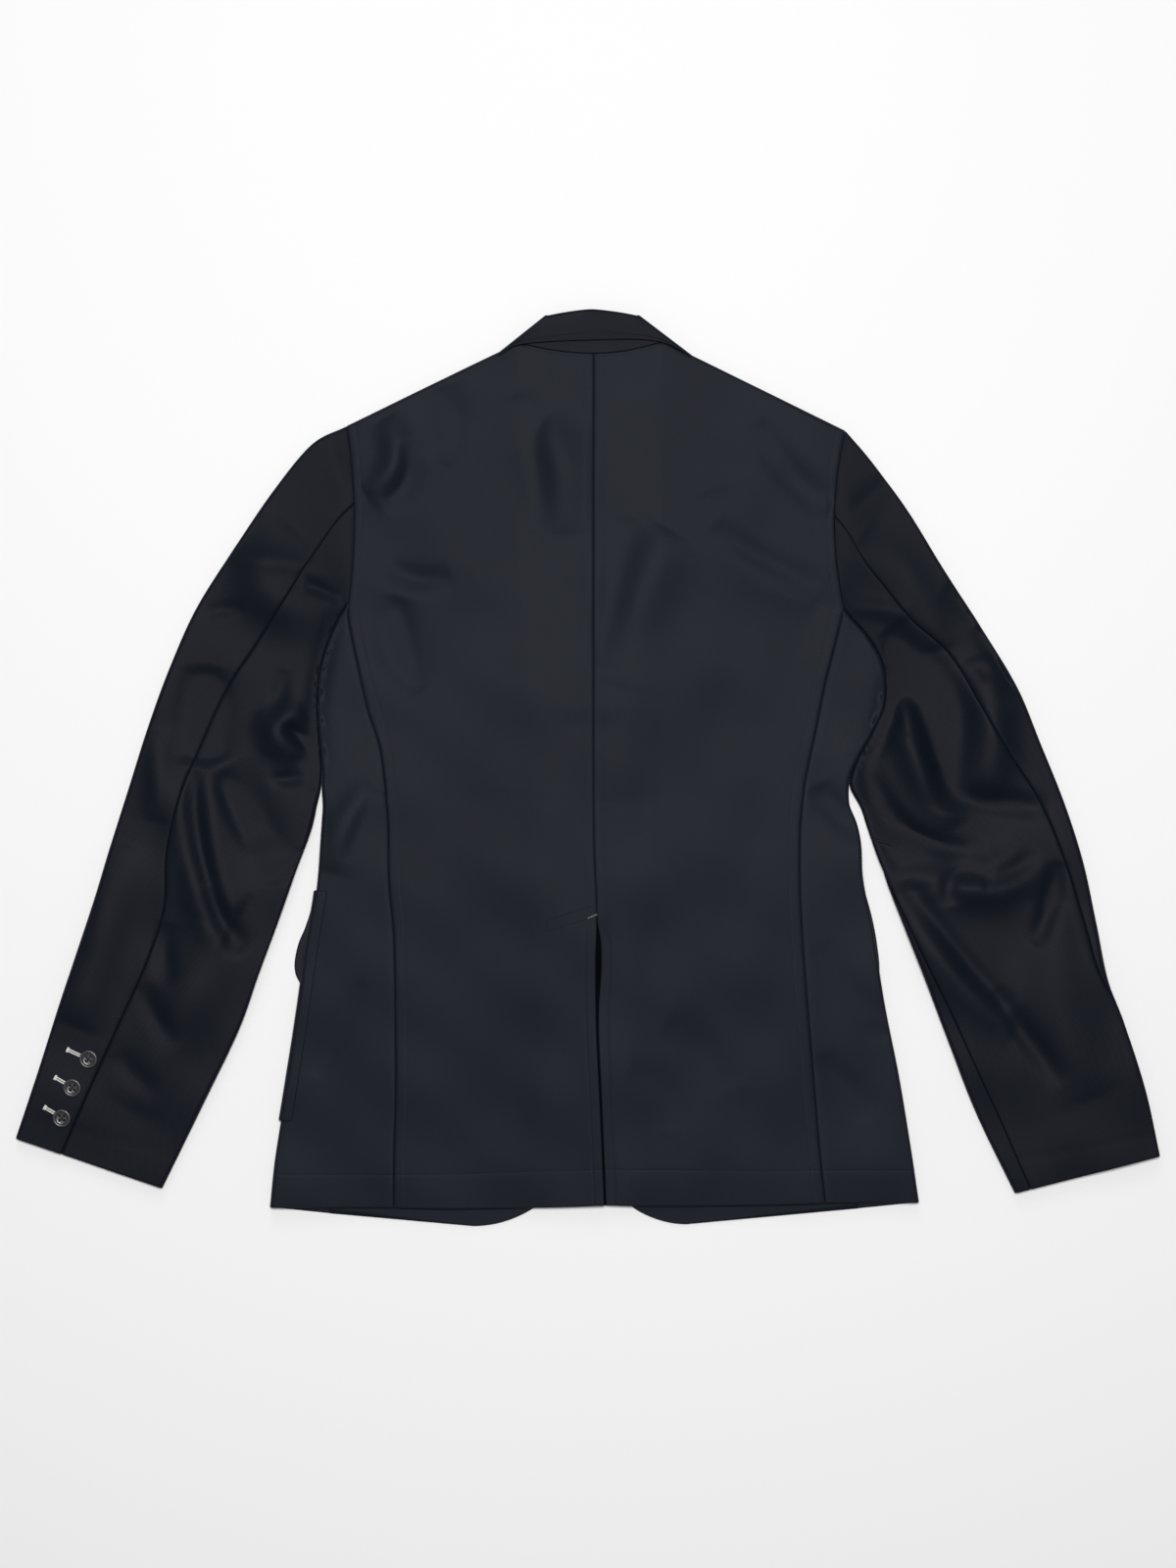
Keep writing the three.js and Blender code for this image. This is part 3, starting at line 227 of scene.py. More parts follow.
# Folds: a bow from (x1, y1) past (x2, y2) to (x3, y3), its width, and its rise, below nothing in a trough.
# The first rows are the large folds of the solids; the rest are the finer creases on and between them.
FOLDS = [
    (-166, 285, -156, 250, -180, 222, 12, 3.5), (-145, 268, -148, 235, -166, 216, 11, -2),
    (-40, 278, -26, 250, -18, 190, 20, 2.5), (100, 228, 130, 180, 190, 140, 22, 2.5),
    (64, 196, 46, 150, 24, 66, 24, 2.5), (-154, 140, -156, 100, -136, 62, 16, -2),
    (-172, -14, -196, -44, -212, -84, 14, 3), (-240, 196, -262, 150, -214, 122, 22, 3.5),
    (-232, 46, -256, 32, -236, 8, 12, 5), (-312, 78, -316, 40, -306, 2, 18, -2.4),
    (-322, 10, -312, -90, -288, -130, 20, 4.5), (-290, 6, -268, -50, -258, -96, 16, -2.2),
    (-380, -60, -400, -150, -420, -210, 20, 3), (-300, -130, -330, -200, -370, -280, 24, 2.5),
    (224, 190, 262, 150, 282, 96, 20, 3.5), (246, 116, 292, 50, 294, -36, 16, -2.6),
    (262, 60, 268, 10, 300, -48, 15, 5), (318, 92, 330, 30, 322, -30, 18, 4.5),
    (230, 4, 260, -70, 326, -64, 13, -2.4), (262, -72, 320, -96, 366, -66, 18, 4),
    (270, -100, 300, -170, 350, -210, 18, 3), (380, -110, 384, -190, 410, -270, 24, 2.5),
    (-309, 83, -312, 43, -309, 3, 15, -3.2), (-322, 0, -320, -52, -309, -94, 8, -3.8),
    (-311, -84, -299, -122, -280, -150, 9, -3), (-301, -4, -286, -30, -268, -66, 8, -2.8),
    (-353, 32, -350, -6, -351, -44, 10, 2.2), (-320, 1, -309, -93, -293, -127, 7, -2),
    (-296, -10, -286, -36, -272, -66, 7, -1.6), (-244, 36, -236, 26, -226, 16, 5, -3),
    (-232, 149, -218, 146, -202, 137, 5, -1.5), (-293, 171, -252, 168, -213, 157, 9, 1.5),
    (-314, 125, -298, 130, -280, 131, 5, -1), (-248, 81, -254, 50, -264, 19, 7, -1.5),
    (-258, -7, -246, -9, -232, -5, 5, -1.5), (-253, -82, -242, -76, -232, -66, 5, -1),
    (-364, -176, -352, -204, -336, -226, 8, -1.3), (-384, -232, -370, -250, -350, -266, 9, -1.1),
    (-344, -126, -346, -152, -340, -176, 8, -1.5), (243, 113, 277, 42, 294, -37, 11, -4),
    (246, 51, 252, 37, 260, 25, 5, -1.2), (224, 14, 255, -46, 312, -65, 8, -3),
    (211, 131, 238, 130, 262, 121, 8, 1.5), (320, 118, 336, 92, 350, 60, 9, -2.6),
    (317, 84, 323, 79, 328, 71, 4, -1), (214, 204, 232, 221, 252, 240, 10, -1.3),
    (291, 148, 312, 136, 330, 118, 12, -1.6),
    (248, 104, 250, 60, 228, 0, 8, -4.6), (-204, 128, -222, 60, -221, -20, 8, -2.4),
    (298, -20, 338, -28, 378, -33, 9, -2.2), (296, -112, 300, -88, 330, -92, 8, -2.8),
    (320, -93, 346, -84, 366, -67, 9, -2.6), (383, -76, 377, -112, 364, -145, 8, -2.6),
    (260, -91, 298, -146, 344, -197, 9, -2.6), (330, -182, 358, -218, 387, -258, 9, -2),
    (-192, 284, -198, 262, -190, 238, 9, -0.9),
    (-152, 269, -150, 240, -168, 218, 5, -1), (-118, 312, -112, 276, -118, 246, 14, -1.7),
    (-58, 306, -44, 256, -42, 190, 14, -1.9), (-154, 139, -154, 100, -135, 62, 7, -1),
    (-164, 166, -138, 155, -112, 158, 9, -1.5), (138, 284, 168, 238, 200, 214, 13, -2.2),
    (104, 200, 142, 172, 192, 148, 11, -2.2), (38, 204, 24, 150, 4, 84, 16, -1.8),
    (66, -206, 92, -228, 116, -262, 16, -0.9), (34, -246, 62, -262, 66, -296, 13, -0.9),
    (190, -144, 216, -186, 246, -222, 10, -1.4), (188, -14, 204, -36, 226, -58, 11, -2),
    (190, -234, 208, -258, 230, -286, 10, -1.2),
    (-170, -13, -186, -46, -197, -77, 6, -1.2), (-184, -173, -206, -216, -224, -253, 8, -1),
]
# What lies under the fronts, each as its corners in turn
COLLAR_AND_LAPELS = [
    [(-37, 372), (-76, 341), (-110, 288), (-46, 310)], [(44, 372), (87, 340), (118, 286), (52, 310)],
    [(-46, 307), (-120, 272), (-9, 76)], [(53, 307), (128, 270), (13, 76)],
]
POCKETS = [
    [(-262, -100), (-96, -100), (-96, -288), (-262, -288)],
    [(104, -100), (264, -100), (264, -288), (104, -288)],
]
FLAPS = [
    [(-240, -98), (-88, -98), (-88, -177), (-240, -177)], [(97, -98), (239, -98), (239, -177), (97, -177)],
]
FRONT_BUTTONS = [("front_button_1", -1, 16, 10), ("front_button_2", -1, -68, 10)]
RIGHT_CUFF_BUTTONS = [
    ("right_cuff_button_1", 433.5, -228, 7.5),
    ("right_cuff_button_2", 439.5, -253.5, 7.5),
    ("right_cuff_button_3", 445.5, -279, 7.5),
]
BUTTON_SPOTS = [
    [(x - r, y + r), (x + r, y + r), (x + r, y - r), (x - r, y - r)]
    for _, x, y, r in FRONT_BUTTONS + RIGHT_CUFF_BUTTONS
]
BUTTON_LAYERS = 1.5
PAD_MARGIN = 26
PAD_RAMP = 30
SOFT_RAMP = 80


def mix(a, b, t):
    """a at t = 0, b at t = 1, on a straight line between."""
    return a + (b - a) * t


def ease(t):
    """3t^2 - 2t^3 from 0 to 1, flat beyond."""
    t = np.clip(t, 0, 1)
    return t * t * (3 - 2 * t)


def read(table, column, value):
    """A table's column at values of its first: cubic pieces, with slopes from the neighbouring rows."""
    rows = table if table[0, 0] < table[-1, 0] else table[::-1]
    key, col = rows[:, 0], rows[:, column]
    number = np.arange(len(key))
    before, after = np.maximum(number - 1, 0), np.minimum(number + 1, len(key) - 1)
    slope = (col[after] - col[before]) / (key[after] - key[before])
    inside = np.clip(value, key[0], key[-1])
    i = np.clip(np.searchsorted(key, inside), 1, len(key) - 1) - 1
    span = key[i + 1] - key[i]
    t = (inside - key[i]) / span
    bend = slope[i] * span * t * (1 - t) ** 2 - slope[i + 1] * span * t * t * (1 - t)
    return mix(col[i], col[i + 1], ease(t)) + bend


def nearest(points, x, y):
    """Distance to a run of points, and the share of the run at the nearest place."""
    best, share = np.full(x.shape, 1e9), np.zeros(x.shape)
    for i, ((ax, ay), (bx, by)) in enumerate(zip(points[:-1], points[1:])):
        length = (bx - ax) ** 2 + (by - ay) ** 2
        t = np.clip(((x - ax) * (bx - ax) + (y - ay) * (by - ay)) / length, 0, 1)
        distance = np.hypot(x - mix(ax, bx, t), y - mix(ay, by, t))
        nearer = distance < best
        share = np.where(nearer, (i + t) / (len(points) - 1), share)
        best = np.where(nearer, distance, best)
    return best, share


def fold_rise(x, y):
    """Sum of all folds: rise * sin(pi * share)^0.6 * exp(-(distance / width)^2) about each bow."""
    total = np.zeros(x.shape)
    steps = np.linspace(0, 1, 13)[:, None]
    for x1, y1, x2, y2, x3, y3, width, rise in FOLDS:
        start, end = np.array((x1, y1)), np.array((x3, y3))
        bow = 2 * np.array((x2, y2)) - (start + end) / 2
        run = start * (1 - steps) ** 2 + 2 * bow * steps * (1 - steps) + end * steps**2
        low, high = run.min(0) - 3 * width, run.max(0) + 3 * width
        near = (x > low[0]) & (x < high[0]) & (y > low[1]) & (y < high[1])
        if near.any():
            distance, share = nearest(run, x[near], y[near])
            fade = np.sin(np.pi * np.clip(share, 0.001, 0.999)) ** 0.6
            total[near] += FOLD_DEPTH * rise * fade * np.exp(-((distance / width) ** 2))
    return total


def drift(x, y):
    """Slow unevenness of cloth that has been laid out by hand: five crossing sine waves."""
    waves = [
        (61, 0.9, 0.3, 0.3), (97, 2.3, 0.42, 1.7), (143, 0.2, 0.6, 4.1), (83, 1.6, 0.34, 2.2),
        (47, 2.9, 0.14, 5.0),
    ]
    return sum(
        rise * np.sin(2 * np.pi * (x * np.cos(way) + y * np.sin(way)) / length + start)
        for length, way, rise, start in waves
    )


def pad_share(corners, x, y, ramp):
    """1 above a pad and for its margin round it, eased to 0 over the ramp beyond."""
    ring = [*corners, corners[0]]
    inside = np.zeros(x.shape, bool)
    for (ax, ay), (bx, by) in zip(ring[:-1], ring[1:]):
        if ay != by:
            inside ^= ((ay > y) != (by > y)) & (x < ax + (bx - ax) * (y - ay) / (by - ay))
    away = np.where(inside, 0, nearest(ring, x, y)[0])
    return 1 - ease((away - PAD_MARGIN) / ramp)


def under_height(x, y, ramp=PAD_RAMP):
    """Middle of the lower cloth: half its thickness, and a layer more for each pad below it."""
    def most(pads):
        return np.max([pad_share(corners, x, y, ramp) for corners in pads], axis=0)
    layers = most(COLLAR_AND_LAPELS) + most(POCKETS) + most(FLAPS) + BUTTON_LAYERS * most(BUTTON_SPOTS)
    return HALF + LAYER * layers


def lap_share(x):
    """The right front's share of lift where it crosses the left front's edge."""
    return 1 - ease((x - LAP_LEFT_X - LAP_MARGIN) / LAP_RAMP)


def top_height(x, y):
    """Middle of the upper cloth: the rise of the back, the pads' soft show-through and the folds, kept a
    layer above the fronts by a smooth maximum."""
    lap = lap_share(x) * lap_share(-x) * ease((LAP_TOP_Y - y) / LAP_RAMP)
    under = under_height(x, y) + LAYER * lap
    shown = under_height(x, y, SOFT_RAMP) + LAYER * lap
    free = BACK_RISE + SHOW_THROUGH * (shown - HALF) + fold_rise(x, y) + drift(x, y)
    least = under + LEAST_STACK
    return (free + least + np.sqrt((free - least) ** 2 + 0.5)) / 2


def armhole_x(table, y):
    """Where an armhole runs: the sleeve's first section, with its bow."""
    _, ox, oy, ix, iy, _, _, bow = table[0]
    share = np.clip((oy - HALF - y) / (oy - iy - CLOTH), 0, 1)
    return mix(ox, ix, share) + bow * 4 * share * (1 - share)


def shoulder_y(x):
    """Outline of the shoulders and of the back of the neck."""
    left, right = LEFT_SLEEVE[0], RIGHT_SLEEVE[0]
    centre = read(CENTRE_BACK, 1, NECK_CENTRE_Y)
    on_left = mix(NECK_LEFT[1], left[2], (NECK_LEFT[0] - x) / (NECK_LEFT[0] - left[1]))
    on_right = mix(NECK_RIGHT[1], right[2], (x - NECK_RIGHT[0]) / (right[1] - NECK_RIGHT[0]))
    neck_x = np.where(x < centre, NECK_LEFT[0], NECK_RIGHT[0])
    neck_y = np.where(x < centre, NECK_LEFT[1], NECK_RIGHT[1])
    neck = mix(NECK_CENTRE_Y, neck_y, ((x - centre) / (neck_x - centre)) ** 2)
    return np.where(x < NECK_LEFT[0], on_left, np.where(x > NECK_RIGHT[0], on_right, neck))


def shoulder_row(x, angle, up, on_shoulder):
    """Places over the rolled shoulder edge: a quarter circle between the upper and the lower cloth."""
    edge = shoulder_y(x)
    top, under = top_height(x, edge - SHOULDER_INSET), under_height(x, edge - SHOULDER_INSET)
    radius = (top - under) / 2
    turn = np.radians(angle)
    inset = HALF + radius * (1 - np.cos(turn))
    y = edge - mix(NECK_STEP * angle / 90, inset, on_shoulder)
    lift = on_shoulder * (radius * (1 - np.sin(turn)) - SEAM_GAP / 2 * np.cos(turn) ** 4)
    return y, top - lift if up else under + lift


# Rows of the body, to the underarm and from there to the hem; one of those below counts as 27.9 mm
ARM_ROWS = 6
SIDE_ROWS = 18
BODY_ROWS = ARM_ROWS + SIDE_ROWS
ROW_STEP = 27.9
ROLL_ANGLES = (0, 12, 25, 38, 51, 64, 77)


def lateral_y(tip_y, side, row):
    """Height of a row at the body's side: shoulder tip to the top of the side body, then on to the hem."""
    head, foot = side[0, 0] - 6, side[-1, 0]
    along_side = mix(head, foot, (row - ARM_ROWS) / SIDE_ROWS)
    return np.where(row <= ARM_ROWS, mix(tip_y, head, row / ARM_ROWS), along_side)


SEAM_EDGE = np.array([0, 0.2, 0.5, 1.0, 1.7, 2.8, 4.4])
STITCHED_EDGE = np.concatenate([SEAM_EDGE, [5.6, 6.2, 6.8, 7.4, 8.0, 8.6, 9.2, 9.8, 10.6, 12.0]])
EDGE_WIDTH = 0.8
THIN_RIM = 0.12
ARM_STITCH_IN = 6.6
SIDE_STITCH_IN = 8.8
VENT_STITCH_IN = 8.0


def across_steps(width, count):
    """Distances across each row: set steps from both stitched edges, and even ones between them."""
    share = np.linspace(0, 1, count)[None, 1:-1]
    middle = mix(STITCHED_EDGE[-1], width[:, None] - STITCHED_EDGE[-1], share)
    rows = np.ones((len(width), 1))
    return np.hstack([rows * STITCHED_EDGE, middle, width[:, None] - rows * STITCHED_EDGE[::-1]])


def rounded(distance):
    """Half thickness near a sewn or cut edge: a quarter circle from the rim's thickness up to the cloth's."""
    share = 1 - np.clip(distance / EDGE_WIDTH, 0, 1)
    return THIN_RIM + (HALF - THIN_RIM) * np.sqrt(1 - share**2)


def seam_relief(distance, stitch_in=None):
    """Cloth sinks half a millimetre into a seam, rises over the allowance and dips at its stitches."""
    sunk = -0.5 * np.exp(-(distance**2))
    if stitch_in is None:
        return sunk + 0.25 * np.exp(-(((distance - 5) / 3) ** 2))
    allowance = 0.22 * ease(distance / 3) * (1 - ease((distance - stitch_in) / 1.2))
    return sunk + allowance - 0.3 * np.exp(-(((distance - stitch_in) / 0.75) ** 2))


def facing_out(points, faces):
    """Four-cornered faces of a closed mesh, turned over when their volume counts below nothing."""
    a, b, c, d = (points[faces[:, k]] for k in range(4))
    volume = (a * np.cross(b, c)).sum() + (a * np.cross(c, d)).sum()
    return faces[:, ::-1] if volume < 0 else faces


def shell(name, middle, half, uv, material):
    """A closed wall of cloth. Its faces are the middle surface moved half the thickness along the normal,
    which is the cross product of the slopes down and along the grid; a strip joins them round the rim."""
    rows, cols = middle.shape[:2]
    normal = np.cross(np.gradient(middle, axis=0), np.gradient(middle, axis=1))
    normal /= np.maximum(np.linalg.norm(normal, axis=2, keepdims=True), 1e-9)
    step = normal * np.broadcast_to(half, (rows, cols))[..., None]
    points = np.concatenate([(middle + step).reshape(-1, 3), (middle - step).reshape(-1, 3)]) * 0.001
    index = np.arange(rows * cols).reshape(rows, cols)
    outer = np.stack([index[:-1, :-1], index[1:, :-1], index[1:, 1:], index[:-1, 1:]], -1).reshape(-1, 4)
    ring = np.concatenate([index[0], index[1:, -1], index[-1, -2::-1], index[-2:0:-1, 0]])
    rim = np.stack([ring, np.roll(ring, -1), np.roll(ring, -1) + rows * cols, ring + rows * cols], -1)
    faces = facing_out(points, np.concatenate([outer, (outer + rows * cols)[:, ::-1], rim]))
    return cloth_mesh(name, points, faces, np.concatenate([uv.reshape(-1, 2)] * 2) * 0.001, material)


def cloth_mesh(name, points, faces, uv, material):
    """A smooth mesh object at the origin from whole arrays of points, four-cornered faces and UVs."""
    mesh = bpy.data.meshes.new(name)
    mesh.vertices.add(len(points))
    mesh.vertices.foreach_set("co", points.ravel())
    mesh.loops.add(faces.size)
    mesh.loops.foreach_set("vertex_index", faces.ravel().astype(np.int32))
    mesh.polygons.add(len(faces))
    mesh.polygons.foreach_set("loop_start", np.arange(0, faces.size, 4, dtype=np.int32))
    mesh.polygons.foreach_set("use_smooth", np.ones(len(faces), bool))
    mesh.update(calc_edges=True)
    layer = mesh.uv_layers.new(name="cloth")
    layer.uv.foreach_set("vector", uv[faces.ravel()].ravel())
    mesh.materials.append(material)
    piece = bpy.data.objects.new(name, mesh)
    bpy.context.scene.collection.objects.link(piece)
    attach(piece, "root")
    return piece


# Back panels. Two lengths of twill, joined down the centre back to the vent, with the armhole and the
# side-back seam at their outer edges. The seams are pressed to one side and stitched down 7 to 9 mm in.
HEM_STITCH = 28
ROWS_ABOVE_HEM = [32, 30, 29.2, 28.6, 28, 27.4, 26.8, 26, 24, 20, 16, 12, 8, 5, 3, 1.8, 1, 0.4, 0]
HEM_ROWS = np.array(ROWS_ABOVE_HEM) / ROW_STEP
VENT_TOP_Y = -118
VENT_OPEN = 1.4
VENT_BULGE, VENT_BULGE_Y, VENT_BULGE_REACH = 3.2, -158, 30
LEFT_LIFT, RIGHT_LIFT = 1.2, -1.0


def body_rows(count):
    """Rows of a body panel from neck to hem, close together at the hem's stitches and its folded edge."""
    return np.concatenate([np.linspace(0, BODY_ROWS - HEM_ROWS[0], count)[:-1], BODY_ROWS - HEM_ROWS])


def vent_spread(y):
    """Share by which the vent has come open: nothing at its top, all of it from 25 mm lower down."""
    return ease((VENT_TOP_Y - y) / 25)


def hem_relief(to_hem):
    """The hem's dip at its stitches, and the slight rise of the doubled cloth below them."""
    return -0.12 * np.exp(-(((to_hem - HEM_STITCH) / 0.9) ** 2)) + 0.06 * ease((HEM_STITCH - to_hem) / 4)


def back_panel(name, sleeve, side, sign):
    """Grid from the neck's edge and the rolled shoulder down to the hem: rows from the centre to the side,
    raised to the shoulder line at the top and sagging a little at the hem."""
    underarm = side[0, 0]
    gap = sign * SEAM_GAP / 2

    def outer_x(y):
        return np.where(y > underarm, armhole_x(sleeve, y), read(side, 1, y)) - gap

    def inner_x(y):
        bulge = VENT_BULGE * np.exp(-(((y - VENT_BULGE_Y) / VENT_BULGE_REACH) ** 2))
        opened = vent_spread(y) * (abs(gap) + (VENT_OPEN + bulge if sign > 0 else 0))
        return read(CENTRE_BACK, 1, y) + sign * opened
    tip_x = outer_x(sleeve[0, 2])
    tip_y = shoulder_row(tip_x, 90, True, 1)[0]
    row = body_rows(240)
    v = row / BODY_ROWS
    inner_y, outer_y = mix(NECK_CENTRE_Y, CENTRE_HEM_Y, v), lateral_y(tip_y, side, row)
    width = np.abs(outer_x(outer_y) - inner_x(inner_y))
    distance = across_steps(width, 62)
    u = distance / width[:, None]
    top_x = mix(inner_x(NECK_CENTRE_Y), tip_x, u)
    on_shoulder = ease((np.abs(top_x - NECK_MIDDLE_X) - NECK_FLAT) / NECK_TURN)
    start = shoulder_row(top_x, 90, True, on_shoulder)[0]
    column = v[:, None]
    y = mix(inner_y[:, None], outer_y[:, None], u) + (1 - column) * (start - mix(NECK_CENTRE_Y, tip_y, u))
    y = y - 1.6 * 4 * u * (1 - u) * column
    x = mix(inner_x(inner_y)[:, None], outer_x(outer_y)[:, None], u)
    to_centre, to_side = distance, width[:, None] - distance
    below_vent = vent_spread(y)
    stitch_in = mix(SIDE_STITCH_IN, ARM_STITCH_IN, ease((outer_y - underarm + 6) / 12))[:, None]
    relief = seam_relief(to_centre) * (1 - below_vent) + seam_relief(to_side, stitch_in)
    stitched_edge = -0.3 * np.exp(-(((to_centre - VENT_STITCH_IN) / 0.8) ** 2))
    lifted = (LEFT_LIFT if sign < 0 else RIGHT_LIFT) * np.exp(-((to_centre / 14) ** 2))
    to_hem = (BODY_ROWS - row) * ROW_STEP
    z = top_height(x, y) + relief + below_vent * (stitched_edge + lifted) + hem_relief(to_hem[:, None])
    grid = np.stack([x, y, z], -1)
    roll = []
    for angle in ROLL_ANGLES:
        edge_y, edge_z = shoulder_row(top_x[0], angle, True, on_shoulder[0])
        roll.append(np.stack([top_x[0], edge_y, edge_z + relief[0]], -1))
    middle = np.concatenate([np.stack(roll), grid])
    from_side = np.minimum(distance, width[:, None] - distance)
    from_side = np.concatenate([np.repeat(from_side[:1], len(roll), 0), from_side])
    from_hem = np.concatenate([np.full(len(roll), 50.0), to_hem])
    half = rounded(np.minimum(from_side, from_hem[:, None]))
    across = 200 * np.concatenate([np.repeat(u[:1], len(roll), 0), u])
    along = np.concatenate([-np.arange(len(roll), 0, -1.0), v * 695])
    uv = np.stack([across, -along[:, None] * np.ones_like(across)], -1)
    piece = shell(name, middle, half, uv, body_cloth)
    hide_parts(name.replace("Cloth_", ""))

    def run(inwards, first, last):
        """Points along a line of stitches, a set way in from the side (or, below nothing, the centre)."""
        wanted = np.broadcast_to(np.where(inwards > 0, width - inwards, -inwards), row.shape)
        lines = [[np.interp(w, d, g[:, k]) for k in range(3)] for w, d, g in zip(wanted, distance, grid)]
        return np.array(lines)[first:last]
    vent_first = int(np.searchsorted(-inner_y, 122))
    hem_row = int(np.argmin(np.abs(to_hem - HEM_STITCH)))
    vent_run = run(np.full(len(row), -VENT_STITCH_IN), vent_first, -4)
    stitch_runs.extend([run(stitch_in[:, 0], 4, -4), vent_run, grid[hem_row, 6:-4]])
    return piece


stitch_runs = []
for name, sleeve, side, sign, size, area in (
    ("Cloth_back_left", LEFT_SLEEVE, LEFT_SIDE, -1, (0.205, 0.706), 0.1262),
    ("Cloth_back_right", RIGHT_SLEEVE, RIGHT_SIDE, 1, (0.207, 0.706), 0.1316),
):
    piece = back_panel(name, sleeve, side, sign)


# Side bodies. A narrow panel under each arm, folded round the coat's edge from the seam on the back
# to the seam on the front. The back's allowance lies on it, so its own edge sinks into the seam.
INWARDS = 200
UNDERARM_RISE = 3.4
TOUCH_TOP_Y, TOUCH_FOOT_Y = 134, -34
HEM_DROP = 5


class Tube:
    """Sections of a flattened tube of cloth between two outlines, one for each row. The way round is
    in millimetres from the first edge: over the top above nothing, over the underside below nothing."""

    def __init__(self, ox, oy, ix, iy, bow=0.0):
        self.way = np.stack([ix - ox, iy - oy], -1)
        length = np.linalg.norm(self.way, axis=1)
        self.way = self.way / length[:, None]
        self.width = length - CLOTH
        self.start = np.stack([ox, oy], -1) + self.way * HALF
        self.bow = np.broadcast_to(bow, ox.shape)
        one = np.ones((len(ox), 1))
        self.first, self.first_middle = self.fold_at(FOLD_INSET * one)
        self.second, self.second_middle = self.fold_at(self.width[:, None] - FOLD_INSET)
        self.flat = self.width - self.first - self.second
        self.half = np.pi / 2 * (self.first + self.second) + self.flat

    def plan(self, distance):
        """Place on the surface below a distance across each section."""
        share = distance / self.width[:, None]
        point = self.start[:, None] + self.way[:, None] * distance[..., None]
        x = point[..., 0] + self.bow[:, None] * 4 * share * (1 - share)
        return x, point[..., 1]

    def fold_at(self, distance):
        """Radius and middle height of the fold, half-way between the upper and the lower cloth."""
        x, y = self.plan(distance)
        top, under = top_height(x, y), under_height(x, y)
        return (top - under)[:, 0] / 2, (top + under)[:, 0] / 2

    def at(self, way_round):
        """Middle of the cloth: half circles at both edges, flat runs over and under between them."""
        half = self.half[:, None]
        wrapped = np.where(way_round > half, way_round - 2 * half, way_round)
        wrapped = np.where(wrapped < -half, wrapped + 2 * half, wrapped)
        side, run = np.where(wrapped >= 0, 1.0, -1.0), np.abs(wrapped)
        r1, r2 = self.first[:, None], self.second[:, None]
        arc = np.pi / 2 * r1
        a1 = np.clip(run / r1, 0, np.pi / 2)
        a2 = np.clip((half - run) / r2, 0, np.pi / 2)
        early, late = run < arc, run > arc + self.flat[:, None]
        distance = np.where(early, r1 * (1 - np.cos(a1)), r1 + run - arc)
        distance = np.where(late, self.width[:, None] - r2 * (1 - np.cos(a2)), distance)
        x, y = self.plan(distance)
        flat_z = np.where(side > 0, top_height(x, y), under_height(x, y))
        z = np.where(early, self.first_middle[:, None] + side * r1 * np.sin(a1), flat_z)
        z = np.where(late, self.second_middle[:, None] + side * r2 * np.sin(a2), z)
        return np.stack([x, y, z], -1)

    def round_to(self, distance):
        """Way round to a distance across."""
        return np.maximum(distance, self.first) - self.first + np.pi / 2 * self.first

    def steps(self, start, end, count):
        """Ways round from start to end on each row: set steps at both seams, and between them steps
        that are closer together where the cloth bends."""
        share = np.linspace(0, 1, count)[1:-1]
        found = []
        last = SEAM_EDGE[-1]
        bounds = zip(start + last, end - last, self.first, self.second, self.flat)
        for low, high, r1, r2, flat in bounds:
            tried = np.linspace(low, high, 400)
            run = np.abs(tried)
            turned_back = np.clip(run - np.pi / 2 * r1 - flat, 0, np.pi * r2)
            turn = np.minimum(run, np.pi / 2 * r1) / r1 + turned_back / r2
            measure = tried / 30 + np.sign(tried) * turn / (np.pi / 4)
            found.append(np.interp(mix(measure[0], measure[-1], share), measure, tried))
        rows = np.ones((len(start), 1))
        near, far = start[:, None] + rows * SEAM_EDGE, end[:, None] - rows * SEAM_EDGE[::-1]
        return np.hstack([near, np.array(found), far])


def sleeve_edge(table, side):
    """Inner edge of a sleeve beside the body, as x and y from the armhole down, and how far it and the
    side body each reach out so that they touch: half of what lies between them, to where they part."""
    ring = np.linspace(0, len(table) - 1, 400)
    x, y = read(table, 3, ring), read(table, 4, ring)
    between = x - read(side, 2, y)
    touching = ease((y - TOUCH_FOOT_Y) / 22) * ease((TOUCH_TOP_Y - y) / 4)
    reach = (between / 2 - np.sign(x) * 0.1) * touching
    return ring, x, y, reach


